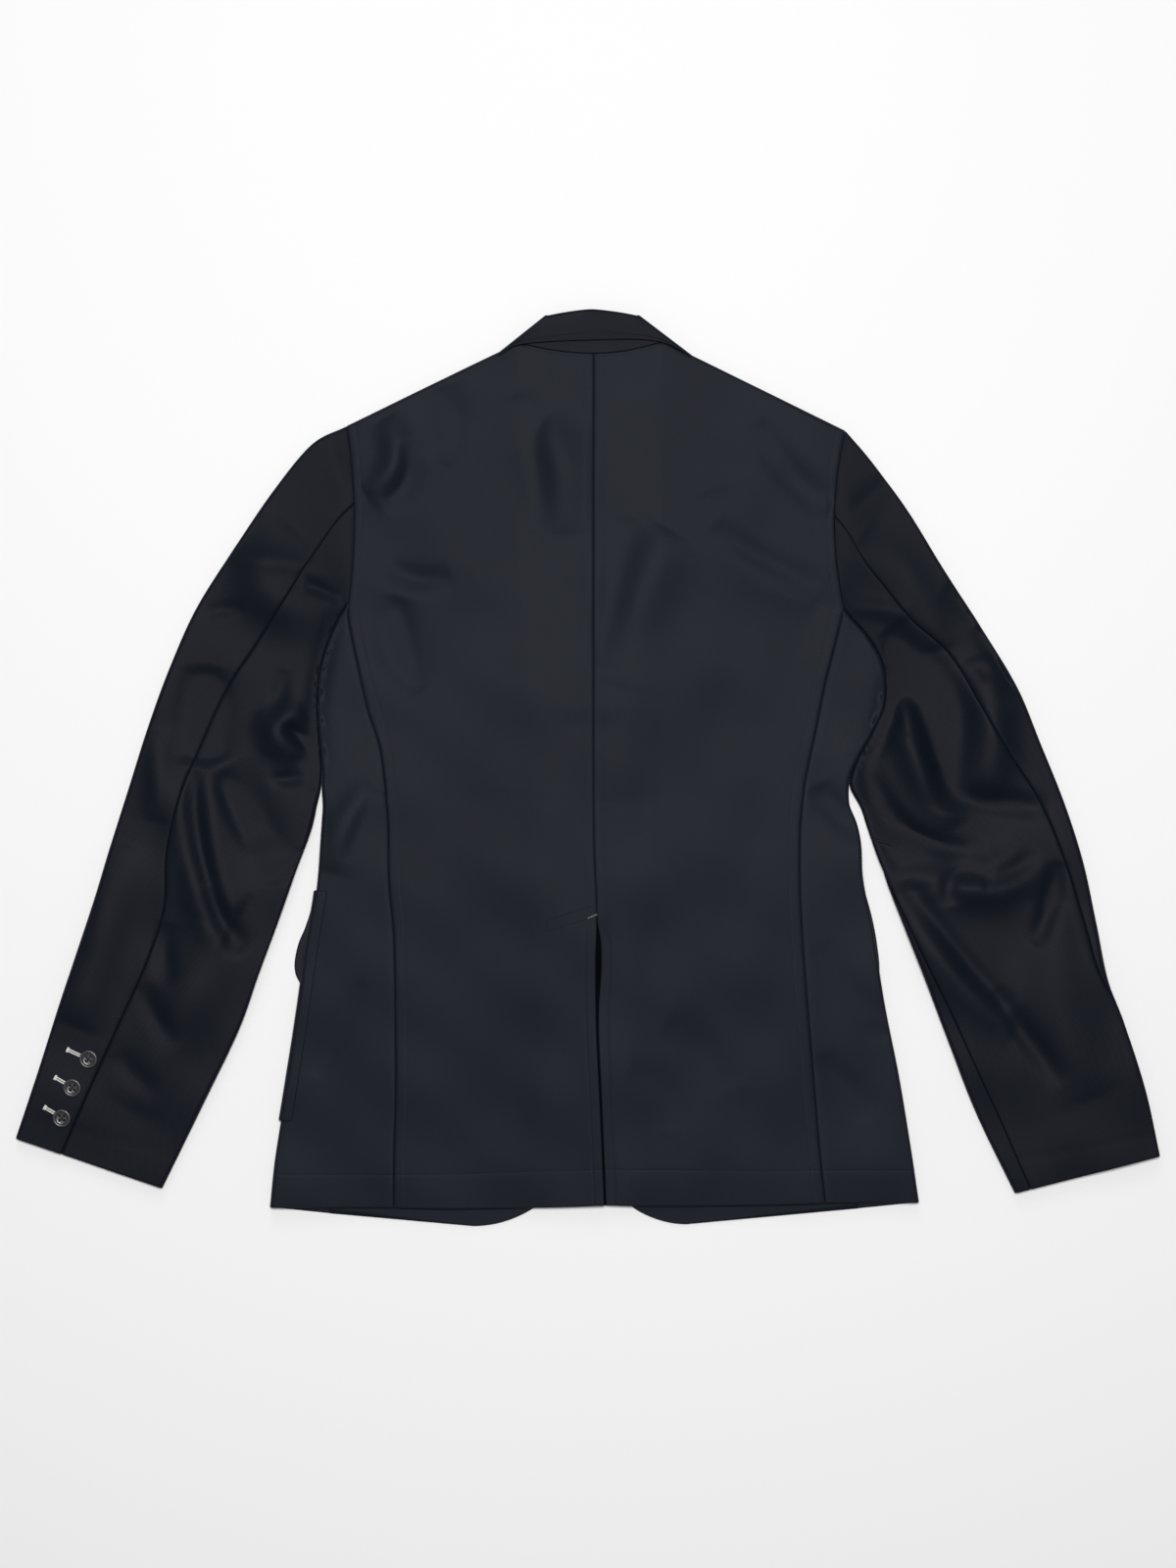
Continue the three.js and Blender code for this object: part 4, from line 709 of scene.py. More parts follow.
def side_body(name, side, sign, sleeve):
    """Grid round the folded edge, row by row down the side; its lower run drops to the front's hem."""
    row = body_rows(250)
    row = np.concatenate([np.full(7, ARM_ROWS), row[row > ARM_ROWS]])
    y = lateral_y(0, side, row)
    y[:7] = np.linspace(side[0, 0] + UNDERARM_RISE, y[7] + 1, 7)
    _, _, sleeve_y, reach = sleeve_edge(sleeve, side)
    edge = read(side, 2, y) + np.interp(y, sleeve_y[::-1], reach[::-1])
    tube = Tube(edge, y, edge - sign * INWARDS, y)
    over = tube.round_to(np.abs(read(side, 1, y) - edge) - HALF - SEAM_GAP / 2)
    below = np.abs(read(side, 3, y) - edge) - HALF - SEAM_GAP / 2
    way_round = tube.steps(-tube.round_to(below), over, 46)
    middle = tube.at(way_round)
    drop = HEM_DROP * ((row - ARM_ROWS) / SIDE_ROWS) ** 2
    inward = np.abs(middle[..., 0] - edge[:, None]) / (below + HALF)[:, None]
    middle[..., 1] -= drop[:, None] * (way_round < 0) * np.minimum(1, inward)
    to_over, to_below = over[:, None] - way_round, way_round + tube.round_to(below)[:, None]
    to_hem = (BODY_ROWS - row)[:, None] * ROW_STEP
    middle[..., 2] += seam_relief(to_over) * (way_round > 0) + hem_relief(to_hem) * ease(way_round / 8)
    half = rounded(np.minimum(np.minimum(to_over, to_below), to_hem))
    uv = np.stack([way_round + 300, -y[:, None] * np.ones_like(way_round)], -1)
    piece = shell(name, middle, half, uv, body_cloth)
    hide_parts(name.replace("Cloth_", ""))
    return piece


for name, side, sign, sleeve, size, area in (
    ("Cloth_side_left", LEFT_SIDE, -1, LEFT_SLEEVE, (0.156, 0.49), 0.0552),
    ("Cloth_side_right", RIGHT_SIDE, 1, RIGHT_SLEEVE, (0.13, 0.49), 0.0512),
):
    piece = side_body(name, side, sign, sleeve)


# Fronts. Two panels that lie face down on the surface: shoulder and armhole above, the lapel's roll line
# and the front edge inside, curved away at the lower corner. The right front laps over the left.
FRONT_BREAK_Y = -230
FRONT_CORNER_SHARE = 0.25


def front_panel(name, sign, sleeve, side, neck, corner, lap_x):
    """Grid from the shoulder's rolled edge down: rows from the front edge, which turns a quarter
    ellipse at the hem, out to the armhole and the side-front seam."""
    roll = np.array([
        (neck[1], neck[0] + sign * 1.4), (318, neck[0] + sign * 2.5), (300, neck[0] - sign * 9),
        (62, sign * 5 + 3), (20, mix(3, lap_x, 0.75)), (-30, lap_x), (FRONT_BREAK_Y, lap_x),
    ])
    underarm = side[0, 0]
    gap = -sign * SEAM_GAP / 2

    def outer_x(y):
        return np.where(y > underarm, armhole_x(sleeve, y), read(side, 3, y)) - gap
    row = np.linspace(0, BODY_ROWS, 150)
    straight_rows = BODY_ROWS * (1 - FRONT_CORNER_SHARE)
    tip_y = shoulder_row(outer_x(sleeve[0, 2]), 90, False, 1)[0]
    neck_y = shoulder_row(np.array(roll[0, 1]), 90, False, 1)[0]
    turn = np.maximum(0, row - straight_rows) / (BODY_ROWS * FRONT_CORNER_SHARE) * np.pi / 2
    straight = mix(neck_y, FRONT_BREAK_Y, np.minimum(1, row / straight_rows))
    inner_y = np.where(turn > 0, mix(FRONT_BREAK_Y, corner[1], np.sin(turn)), straight)
    inner_x = np.where(turn > 0, mix(corner[0], lap_x, np.cos(turn)), read(roll, 1, straight))
    outer_y = lateral_y(tip_y, side, row)
    drop = HEM_DROP * np.maximum(0, (row - ARM_ROWS) / SIDE_ROWS) ** 2
    u = np.concatenate([[0, 0.002, 0.005, 0.01], np.linspace(0.02, 0.98, 56), [0.99, 0.995, 0.998, 1]])[None]
    x = mix(inner_x[:, None], outer_x(outer_y)[:, None], u)
    y = mix(inner_y[:, None], (outer_y - drop)[:, None], u)
    z = under_height(x, y) + (LAYER * lap_share(x) if sign > 0 else 0)
    rolled = []
    for angle in ROLL_ANGLES:
        edge_y, edge_z = shoulder_row(x[0], angle, False, 1)
        rolled.append(np.stack([x[0], edge_y, edge_z], -1))
    middle = np.concatenate([np.stack(rolled), np.stack([x, y, z], -1)])
    width = np.abs(outer_x(outer_y) - inner_x)[:, None]
    distance = np.minimum(u, 1 - u) * width
    distance = np.concatenate([np.repeat(distance[:1], len(rolled), 0), distance])
    uv = np.stack([middle[..., 0], middle[..., 1]], -1)
    piece = shell(name, middle, rounded(distance), uv, body_cloth)
    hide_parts(name.replace("Cloth_", ""))
    return piece


LEFT_CORNER, RIGHT_CORNER = (-93, -374.5), (80, -373)
for piece, size, area in (
    (front_panel("Cloth_front_left", -1, LEFT_SLEEVE, LEFT_SIDE, NECK_LEFT, LEFT_CORNER, LAP_LEFT_X),
     (0.228, 0.72), 0.1222),
    (front_panel("Cloth_front_right", 1, RIGHT_SLEEVE, RIGHT_SIDE, NECK_RIGHT, RIGHT_CORNER, LAP_RIGHT_X),
     (0.24, 0.72), 0.1300),
):
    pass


# Lapels. The top of each front is turned back on its roll line and lies flat below it.
def ruled(name, run_a, run_b):
    """A flat piece on the surface between two runs of points, with a rounded edge all round."""
    u = np.concatenate([[0, 0.004, 0.01, 0.02], np.linspace(0.04, 0.96, 40), [0.98, 0.99, 0.996, 1]])
    middle = mix(run_a[:, None], run_b[:, None], u[None, :, None])
    width = np.linalg.norm(run_b - run_a, axis=1)[:, None]
    length = np.linalg.norm(np.diff(run_a, axis=0, prepend=run_a[:1]), axis=1).cumsum()
    ends = np.minimum(length, length[-1] - length)[:, None]
    distance = np.minimum(np.minimum(u, 1 - u) * width, ends)
    height = np.full(middle.shape[:2] + (1,), HALF)
    uv = np.stack([middle[..., 0], middle[..., 1]], -1)
    piece = shell(name, np.concatenate([middle, height], -1), rounded(distance), uv, body_cloth)
    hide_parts(name.replace("Cloth_", ""))
    return piece


LAPEL_BELLY = 28
for name, sign, roll, peak, tip in (
    ("Cloth_lapel_left", -1, (-46, 307), (-120, 272), (-9, 76)),
    ("Cloth_lapel_right", 1, (53, 307), (128, 270), (13, 76)),
):
    v = np.concatenate([[0, 0.002, 0.005], np.linspace(0.01, 0.99, 70), [0.995, 1]])[:, None]
    inner = mix(np.array(roll), np.array(tip), v)
    belly = np.hstack([sign * LAPEL_BELLY * v * (1 - v), 0 * v])
    outer = mix(np.array(peak), np.array(tip), v * 0.96) + belly
    piece = ruled(name, inner, outer)


# Patch pockets and their flaps. Each pocket is a patch on the lower front that wraps a little round
# the side, and its flap hangs inside it, face down on the surface; the left one's edge shows.
POCKET_TOP_Y, POCKET_FOOT_Y = -100, -288


def pocket(name, side, sign, inner, wrap, outer):
    """The side body's section, moved a layer out, from the pocket's inner edge round to its outer one."""
    near_top, near_foot = [POCKET_TOP_Y, -100.4, -101, -102], [-286, -287, -287.6, POCKET_FOOT_Y]
    y = np.concatenate([near_top, np.linspace(-104, -284, 90), near_foot])
    edge = read(side, 2, y)
    tube = Tube(edge, y, edge - sign * INWARDS, y)
    start = -tube.round_to(np.abs(inner - edge) - HALF)
    end = tube.round_to(np.full(len(y), wrap)) if wrap > 0 else -tube.round_to(np.full(len(y), outer))
    way_round = tube.steps(start, end, 54)
    middle = tube.at(way_round)
    normal = np.cross(np.gradient(middle, axis=0), np.gradient(middle, axis=1))
    normal /= np.linalg.norm(normal, axis=2, keepdims=True)
    normal *= -np.sign(normal[:, 5:6, 2:3])
    middle = middle + LAYER * normal
    distance = np.minimum(way_round - start[:, None], end[:, None] - way_round)
    distance = np.minimum(distance, np.minimum(POCKET_TOP_Y - y, y - POCKET_FOOT_Y)[:, None])
    uv = np.stack([way_round + 600, -y[:, None] * np.ones_like(way_round)], -1)
    piece = shell(name, middle, rounded(distance), uv, body_cloth)
    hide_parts(name.replace("Cloth_", ""))


pocket("Cloth_pocket_left", LEFT_SIDE, -1, -96, 8, 0)
pocket("Cloth_pocket_right", RIGHT_SIDE, 1, 104, 0, 7)
FLAP_LEFT = np.array([
    (-98, -221, -90), (-115, -226.2, -89), (-131, -231.5, -88.5), (-143, -236.6, -88),
    (-158, -239.8, -88), (-168, -239.2, -90), (-177, -235, -96),
])
FLAP_RIGHT = np.array([
    (-98, 226, 98), (-122, 232.6, 97), (-146, 237, 96.5), (-168, 238.5, 98), (-177, 234, 104),
])
for name, table in (("Cloth_flap_left", FLAP_LEFT), ("Cloth_flap_right", FLAP_RIGHT)):
    y = np.concatenate([[-98, -98.4, -99, -100], np.linspace(-102, -173, 36), [-175, -176, -176.6, -177]])
    runs = [np.stack([read(table, k, y), y], -1) for k in (1, 2)]
    piece = ruled(name, *runs)


# Sleeves. Two pieces each, upper and under, set into the armhole and joined by the elbow seam, which
# shows down the back of the arm, and the front seam, which shows low on the right sleeve.
CUFF_RING = 13
CUFF_HEM = 21
CUFF_VENT_RING = 11.1
CUFF_VENT_LIFT = 0.7
RIGHT_ELBOW_TURN_RING = 9.6
FRONT_SEAM_EXTRA = 0.9


def sleeve_pieces(label, table, side):
    """Rings from armhole to cuff, shared by both pieces: each is a section of a flattened tube, cut at
    the elbow seam and the front seam."""
    near_cuff = [12.965, 12.98, 12.992, CUFF_RING]
    ring = np.concatenate([[0, 0.006, 0.016, 0.03, 0.06], np.linspace(0.1, 12.94, 215), near_cuff])
    ox, oy, ix, iy, elbow_share, front_way, bow = (read(table, k, ring) for k in range(1, 8))
    ease_in = np.maximum(0, 1 - ring)
    shift = -np.sign(table[0, 1]) * 0.2 * ease_in
    edge_ring, _, _, reach = sleeve_edge(table, side)
    ix = ix - np.interp(ring, edge_ring, reach)
    tube = Tube(ox + shift, oy, ix + shift, iy, bow * ease_in)
    elbow = tube.round_to(elbow_share * tube.width)
    if label == "right":
        elbow = mix(elbow, 0.3 * tube.first, ease((ring - RIGHT_ELBOW_TURN_RING) / 1.2))
    front = tube.half + front_way
    front_gap = SEAM_GAP / 2 + FRONT_SEAM_EXTRA * np.exp(-((front_way / 7) ** 2))
    # About how far each ring is from the armhole and from the cuff
    ends = np.minimum(ring * 40, (CUFF_RING - ring) * 64)[:, None]
    to_armhole, to_cuff = ring[:, None] * 22, (CUFF_RING - ring[:, None]) * 62
    armhole = -0.5 * np.exp(-((to_armhole / 1.6) ** 2)) + 0.6 * np.exp(-(((to_armhole - 8) / 7) ** 2))
    hem = -0.3 * np.exp(-(((to_cuff - CUFF_HEM) / 1.8) ** 2))
    vent_share = ease((ring[:, None] - CUFF_VENT_RING) / 0.4)
    for part, start, end, lift, count in (
        ("upper", front - 2 * tube.half + front_gap, elbow - SEAM_GAP / 2, CUFF_VENT_LIFT, 64),
        ("under", elbow + SEAM_GAP / 2, front - front_gap, -CUFF_VENT_LIFT, 58),
    ):
        way_round = tube.steps(start, end, count)
        middle = tube.at(way_round)
        above = (way_round > 0) & (way_round < tube.half[:, None])
        from_start, from_end = way_round - start[:, None], end[:, None] - way_round
        elbow_side, front_side = (from_end, from_start) if part == "upper" else (from_start, from_end)
        open_cuff = vent_share * np.exp(-((elbow_side / 12) ** 2)) * lift
        relief = seam_relief(elbow_side) + 0.6 * seam_relief(front_side) + armhole + open_cuff + hem
        fade = ease(way_round / 5) * ease((tube.half[:, None] - way_round) / 5 + 0.2)
        middle[..., 2] += relief * above * fade
        half = rounded(np.minimum(np.minimum(from_start, from_end), ends))
        uv = np.stack([way_round, -ring[:, None] * 45 * np.ones_like(way_round)], -1)
        name = f"Cloth_sleeve_{label}_{part}"
        # The sleeves take the darker twill, which is painted shade.
        piece = shell(name, middle, half, uv, painted_shade_cloth)
        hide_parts(f"sleeve_{label}_{part}")


sleeve_pieces("left", LEFT_SLEEVE, LEFT_SIDE)
sleeve_pieces("right", RIGHT_SLEEVE, RIGHT_SIDE)


# Collar. The fall folds over the stand at the roll line behind the neck, its edge lies on the back, and
# its ends turn round under the fronts to meet the lapels.
FALL_RISE = 3.3
ROLL_PUSH = 0.3
FALL_PUSH = 0.35
NECK_LAP = 0.2
END_RUN = 78
FALL_STITCH_IN = 6.5
COLLAR_BACK = np.array([
    (0, -72.4, 336.6, -54, 348), (0.12, -60, 344.2, -44, 346), (0.3, -34, 347.6, -20, 340.4),
    (0.5, 5.8, 349.1, 4.8, 338.8), (0.7, 44, 349.5, 28, 340.4), (0.88, 67.6, 345, 50, 346.4),
    (1, 83.6, 335.2, 59, 348.8),
])
ROLL_LEFT, ROLL_RIGHT, ROLL_CROWN = (-34, 367.5), (41.5, 367.5), 4.6
COLLAR_LEFT_END = {"roll": (-46, 312), "fall": (-106, 291), "neck": (-56, 317)}
COLLAR_RIGHT_END = {"roll": (52, 312), "fall": (114, 289), "neck": (61, 318)}


def collar_columns():
    """Columns along the collar, from the left end under the front, over the folded corner, across the
    back, and round to the right end: roll, fall edge and neck seam in plan, and the angle of the fold."""
    def back_at(t):
        roll = [mix(ROLL_LEFT[0], ROLL_RIGHT[0], t), ROLL_LEFT[1] + ROLL_CROWN * 4 * t * (1 - t)]
        edges = [read(COLLAR_BACK, k, t) for k in (1, 2, 3, 4)]
        return np.stack(roll + edges, -1).reshape(-1, 3, 2)
    t = np.linspace(0, 1, 90)
    fold = np.radians(np.linspace(-90, 90, 26))[1:-1]
    share = np.concatenate([[0, 0.004, 0.01, 0.02], np.linspace(0.04, 1, 30)])
    ends = [np.array([e["roll"], e["fall"], e["neck"]], float) for e in (COLLAR_LEFT_END, COLLAR_RIGHT_END)]
    left, right = back_at(np.array([0.0])), back_at(np.array([1.0]))
    plan = np.concatenate([
        mix(ends[0][None], left, share[:, None, None]), np.repeat(left, len(fold), 0), back_at(t),
        np.repeat(right, len(fold), 0), mix(right, ends[1][None], (1 - share[::-1])[:, None, None]),
    ])
    down = np.full(len(share), -np.pi / 2)
    angle = np.concatenate([down, fold, np.full(len(t), np.pi / 2), fold[::-1], down])
    sign = np.where(np.arange(len(angle)) < len(angle) / 2, -1.0, 1.0)
    to_end = np.full(len(angle), float(END_RUN))
    to_end[:len(share)], to_end[-len(share):] = share * END_RUN, share[::-1] * END_RUN
    return plan, angle, sign, to_end


plan, angle, sign, to_end = collar_columns()
roll, fall, neck = plan[:, 0], plan[:, 1], plan[:, 2]
sewn_on = np.minimum(neck[:, 1], shoulder_y(neck[:, 0]) + NECK_LAP)
neck = np.column_stack([neck[:, 0], np.where(angle > 1.5, sewn_on, neck[:, 1])])
slant = np.abs(roll - fall)
fold_out = np.stack([sign * slant[:, 1], slant[:, 0], 0 * sign], -1) / np.linalg.norm(slant, axis=1)[:, None]
neck_top = float(top_height(np.array([float(NECK_MIDDLE_X)]), np.array([NECK_CENTRE_Y]))[0])
fall_top, stand_under = neck_top + FALL_RISE, HALF + LAYER
fall_radius, stand_radius = (fall_top - HALF) / 2, (neck_top - stand_under) / 2
push = np.maximum(np.cos(angle), 0)[:, None]


def raised(points, middle, radius, share):
    """Plan points pushed out and up round the corner's fold, out by a share of its radius."""
    z = middle + radius * np.sin(angle)
    return np.hstack([points, z[:, None]]) + fold_out * radius * push * share


roll_3 = raised(roll, (fall_top + HALF) / 2, fall_radius, ROLL_PUSH)
fall_3 = raised(fall, (fall_top + HALF) / 2, fall_radius, FALL_PUSH)
neck_3 = raised(neck, (neck_top + stand_under) / 2, stand_radius, 1)
inside_3 = raised(roll, (neck_top + stand_under) / 2, stand_radius, ROLL_PUSH)
over = roll_3 - fall_3
over /= np.linalg.norm(over, axis=1)[:, None]
fall_share = np.concatenate([1 - np.array([0, 0.004, 0.012, 0.025, 0.05]), np.linspace(0.92, 0, 30)])
turn = np.linspace(0, 0.82, 16)[1:, None] * np.pi
lying = mix(roll_3[:, None], fall_3[:, None], fall_share[None, :, None])
gap = np.linalg.norm(roll_3 - inside_3, axis=1)[:, None, None] / 2
rolled = mix(roll_3[:, None], inside_3[:, None], (1 - np.cos(turn))[None] / 2)
rolled += over[:, None] * gap * np.sin(turn)[None]
behind_neck = (angle > 1.5)[:, None]
lying[..., 2] += behind_neck * 0.25 * np.sin(lying[..., 0] / 17) * (1 - fall_share)
middle = np.concatenate([lying, rolled], 1)
fall_length = np.linalg.norm(roll_3 - fall_3, axis=1)[:, None]
distance = np.concatenate([(1 - fall_share)[None] * fall_length, 50 + 0 * rolled[..., 0]], 1)
distance = np.minimum(distance, to_end[:, None])
middle[..., 2] -= 0.3 * behind_neck * np.exp(-(((distance - FALL_STITCH_IN) / 0.8) ** 2))
along = np.linalg.norm(np.diff(middle, axis=0, prepend=middle[:1]), axis=2).cumsum(0)
uv = np.stack([along, distance], -1)
# The collar takes the sleeves' darker twill, which is painted shade.
fall_piece = shell("Cloth_collar_fall", middle, rounded(distance), uv, painted_shade_cloth)
stand_share = np.concatenate([[0.02], np.linspace(0.08, 0.95, 16), [0.97, 0.99, 1]])
middle = mix(inside_3[:, None], neck_3[:, None], stand_share[None, :, None])
stand_height = np.linalg.norm(neck_3 - inside_3, axis=1)[:, None]
distance = np.minimum((1 - stand_share)[None] * stand_height, to_end[:, None])
uv = np.stack([middle[..., 0], middle[..., 1]], -1)
stand_piece = shell("Cloth_collar_stand", middle, rounded(distance), uv, painted_shade_cloth)
for piece, size, area in ((fall_piece, (0.28, 0.06), 0.0088), (stand_piece, (0.25, 0.03), 0.0048)):
    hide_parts(piece.name.replace("Cloth_", ""))


# Vent. Below the bar tack the left back lies loose over a strip of cloth, which is the right back's
# extension, and a little of it shows where the vent has fallen open. It has the tone of the gap's shade.
VENT_SHADE = (0.0005, 0.0008, 0.0014, 1)
VENT_SHADE_LIT = (0.0010, 0.0015, 0.0025, 1)
UNDERLAP_WIDTH = 38
UNDERLAP_TOP_Y, UNDERLAP_FOOT_Y = -120, -357
HOLLOW_DEPTH, HOLLOW_SHARE = 1.3, 0.84
near_top, near_foot = [UNDERLAP_TOP_Y, -120.4, -121], [-355.5, -356.5, UNDERLAP_FOOT_Y]
y = np.concatenate([near_top, np.linspace(-123, -354, 110), near_foot])
u = np.concatenate([[0, 0.006, 0.015, 0.03], np.linspace(0.06, 0.94, 14), [0.97, 0.985, 0.994, 1]])
x = read(CENTRE_BACK, 1, y)[:, None] + mix(8 - UNDERLAP_WIDTH, 8, u)[None]
y_grid = y[:, None] * np.ones_like(x)
across = (u - HOLLOW_SHARE) * UNDERLAP_WIDTH / 6
fallen = HOLLOW_DEPTH * np.exp(-(((y_grid - VENT_BULGE_Y) / 40) ** 2)) * np.exp(-(across**2))
middle = np.stack([x, y_grid, top_height(x, y_grid) - LAYER - fallen], -1)
to_ends = np.minimum(UNDERLAP_TOP_Y - y, y - UNDERLAP_FOOT_Y)
distance = np.minimum(np.minimum(u, 1 - u)[None] * UNDERLAP_WIDTH, to_ends[:, None])
shaded_cloth = twill("Navy twill in the vent's shade", VENT_SHADE, VENT_SHADE_LIT, 0.01)
underlap = shell("Cloth_vent_underlap", middle, rounded(distance), np.stack([x, -y_grid], -1), shaded_cloth)
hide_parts("vent_underlap")

# Thread. Seams are stitched down with dark thread in short lockstitches, the vent is held by a stay of
# black ones, and the buttonholes are worked in pale thread. Each stitch is a small rounded length.
def plain(name, colour, roughness, gloss):
    """A material of one plain colour."""
    material = bpy.data.materials.new(name)
    material.use_nodes = True
    shader = material.node_tree.nodes["Principled BSDF"]
    shader.inputs["Base Color"].default_value = colour
    shader.inputs["Roughness"].default_value = roughness
    shader.inputs["Specular IOR Level"].default_value = gloss
    return material


THREAD_GLOSS = 0.3
black_thread = plain("Black thread", (0.0022, 0.0028, 0.0045, 1), 0.6, THREAD_GLOSS)
grey_thread = plain("Grey thread", (0.11, 0.115, 0.125, 1), 0.55, THREAD_GLOSS)
dark_thread = plain("Dark thread", (0.0065, 0.0080, 0.0125, 1), 0.45, THREAD_GLOSS)
pale_thread = plain("Pale thread", (0.60, 0.60, 0.57, 1), 0.6, THREAD_GLOSS)
STITCH_SIDES = 6
STITCH_ALONG = np.array([0, 0.1, 0.5, 0.9, 1])
STITCH_GIRTH = np.array([0.4, 0.85, 1, 0.85, 0.4])
SEAM_STITCH, SEAM_STITCH_GAP = 2.3, 0.9
STAY_STITCH, STAY_STITCH_GAP = 2.0, 1.1


def spaced(points, length, gap):
    """Start and end of each stitch along a line of points, in even steps of a stitch and a gap."""
    travelled = np.concatenate([[0], np.linalg.norm(np.diff(points, axis=0), axis=1).cumsum()])
    first = np.arange(gap, travelled[-1] - length, length + gap)
    reached = (first, first + length)
    return [np.stack([np.interp(at, travelled, points[:, k]) for k in range(3)], -1) for at in reached]


def stitches(name, start, end, radius, material):
    """Stitches from their starts to their ends, in millimetres: rings of six points round each, closed by
    two faces at either end."""
    along = end - start
    way = along / np.linalg.norm(along, axis=1)[:, None]
    beside = np.cross(way, (0, 0, 1))
    beside /= np.linalg.norm(beside, axis=1)[:, None]
    above = np.cross(beside, way)
    turn = np.arange(STITCH_SIDES) * 2 * np.pi / STITCH_SIDES
    out = beside[:, None] * np.cos(turn)[None, :, None] + above[:, None] * np.sin(turn)[None, :, None]
    centre = start[:, None] + along[:, None] * STITCH_ALONG[None, :, None]
    points = centre[:, :, None] + out[:, None] * radius * STITCH_GIRTH[None, :, None, None]
    rings = len(STITCH_ALONG)
    index = np.arange(rings * STITCH_SIDES).reshape(rings, STITCH_SIDES)
    beyond = np.roll(index, -1, 1)
    around = np.stack([index[:-1], index[1:], beyond[1:], beyond[:-1]], -1).reshape(-1, 4)
    last = index[-1]
    ends = np.array([[0, 1, 2, 3], [0, 3, 4, 5], last[[3, 2, 1, 0]], last[[5, 4, 3, 0]]])
    faces = np.concatenate([around, ends])
    faces = (np.arange(len(start))[:, None, None] * rings * STITCH_SIDES + faces[None]).reshape(-1, 4)
    points = points.reshape(-1, 3) * 0.001
    piece = cloth_mesh(name, points, facing_out(points, faces), np.zeros((len(points), 2)), material)
    return piece


def surface_points(*pieces):
    """All points of some cloth pieces, in millimetres."""
    found = []
    for piece in pieces:
        flat = np.empty(len(piece.data.vertices) * 3, np.float32)
        piece.data.vertices.foreach_get("co", flat)
        found.append(flat.reshape(-1, 3) * 1000.0)
    return np.concatenate(found)


def laid_on(points, plan):
    """Places in plan lifted to the cloth: the highest of the 12 points of the cloth nearest to each."""
    heights = []
    for x, y in plan:
        distance = (points[:, 0] - x) ** 2 + (points[:, 1] - y) ** 2
        heights.append(points[np.argpartition(distance, 12)[:12], 2].max())
    return np.column_stack([plan, heights])


def line(start, end, count):
    """Even places along a straight line in plan."""
    return mix(np.array(start, float)[None], np.array(end, float)[None], np.linspace(0, 1, count)[:, None])


named = bpy.data.objects
back_points = surface_points(named["Cloth_back_left"], named["Cloth_back_right"])
cuff_points = surface_points(named["Cloth_sleeve_left_upper"], named["Cloth_sleeve_left_under"])
collar_points = surface_points(named["Cloth_collar_fall"])

seam_lines = [run + (0, 0, HALF - 0.02) for run in stitch_runs]
STAY_ROWS = [((4, -112.6), (-33, -123.8)), ((4, -121.8), (-34.5, -133.4)), ((-33, -123.8), (-34.5, -133.4))]
seam_lines.append(laid_on(collar_points, line((-45, 354.6), (53, 354.9), 40)))
pairs = [spaced(run, SEAM_STITCH, SEAM_STITCH_GAP) for run in seam_lines]
starts, ends = (np.concatenate([pair[k] for pair in pairs]) for k in (0, 1))
stitches("Seam_stitches", starts, ends, 0.24, dark_thread)
stay_lines = [laid_on(back_points, line(a, b, 24)) for a, b in STAY_ROWS]
pairs = [spaced(run, STAY_STITCH, STAY_STITCH_GAP) for run in stay_lines]
starts, ends = (np.concatenate([pair[k] for pair in pairs]) for k in (0, 1))
stitches("Vent_stay_stitches", starts, ends, 0.42, black_thread)

# Bar tacks. A few close cross stitches: a grey one that holds the top of the vent, and a dark one above
# the left cuff's vent.
def bar(points, start, end, wide, step):
    """Both ends of close stitches laid across a short line, each as long as the bar is wide."""
    reach = np.array(end, float) - start
    length = np.linalg.norm(reach)
    across = np.array([-reach[1], reach[0]]) / length * wide / 2
    middles = line(start, end, int(length / step) + 1)
    return laid_on(points, middles - across), laid_on(points, middles + across)


vent_tack = bar(back_points, (0.2, -122.5), (7.4, -119.3), 1.5, 0.45)
stitches("Vent_bar_tack", vent_tack[0], vent_tack[1], 0.26, grey_thread)
cuff_tack = bar(cuff_points, (-389.4, -203.7), (-381, -202.5), 1.1, 0.45)
stitches("Cuff_bar_tack", cuff_tack[0], cuff_tack[1], 0.3, dark_thread)

# Buttonholes. Three on the left cuff, worked round a slit in pale thread: two ribs of cross stitches with
# a wider bar at the outer end. The inner end of each lies below its button.
BUTTONHOLES = [
    ((-424.8, -229.9), (-411.5, -236.0)), ((-434.7, -252.5), (-424.0, -258.5)),
    ((-443.3, -276.9), (-432.8, -283.0)),
]
starts, ends = [], []
for outer, inner in BUTTONHOLES:
    reach = np.array(inner) - outer
    across = np.array([-reach[1], reach[0]]) / np.linalg.norm(reach)
    reach = reach / np.linalg.norm(reach)
    for side in (-0.85, 0.85):
        first, second = bar(cuff_points, outer + across * side, inner + across * side, 1.15, 0.42)
        starts.append(first)
        ends.append(second)
    first, second = bar(cuff_points, outer - reach * 0.6, outer + reach * 0.9, 4.4, 0.4)
    starts.append(first)
    ends.append(second)
stitches("Buttonholes", np.concatenate(starts), np.concatenate(ends), 0.32, pale_thread)

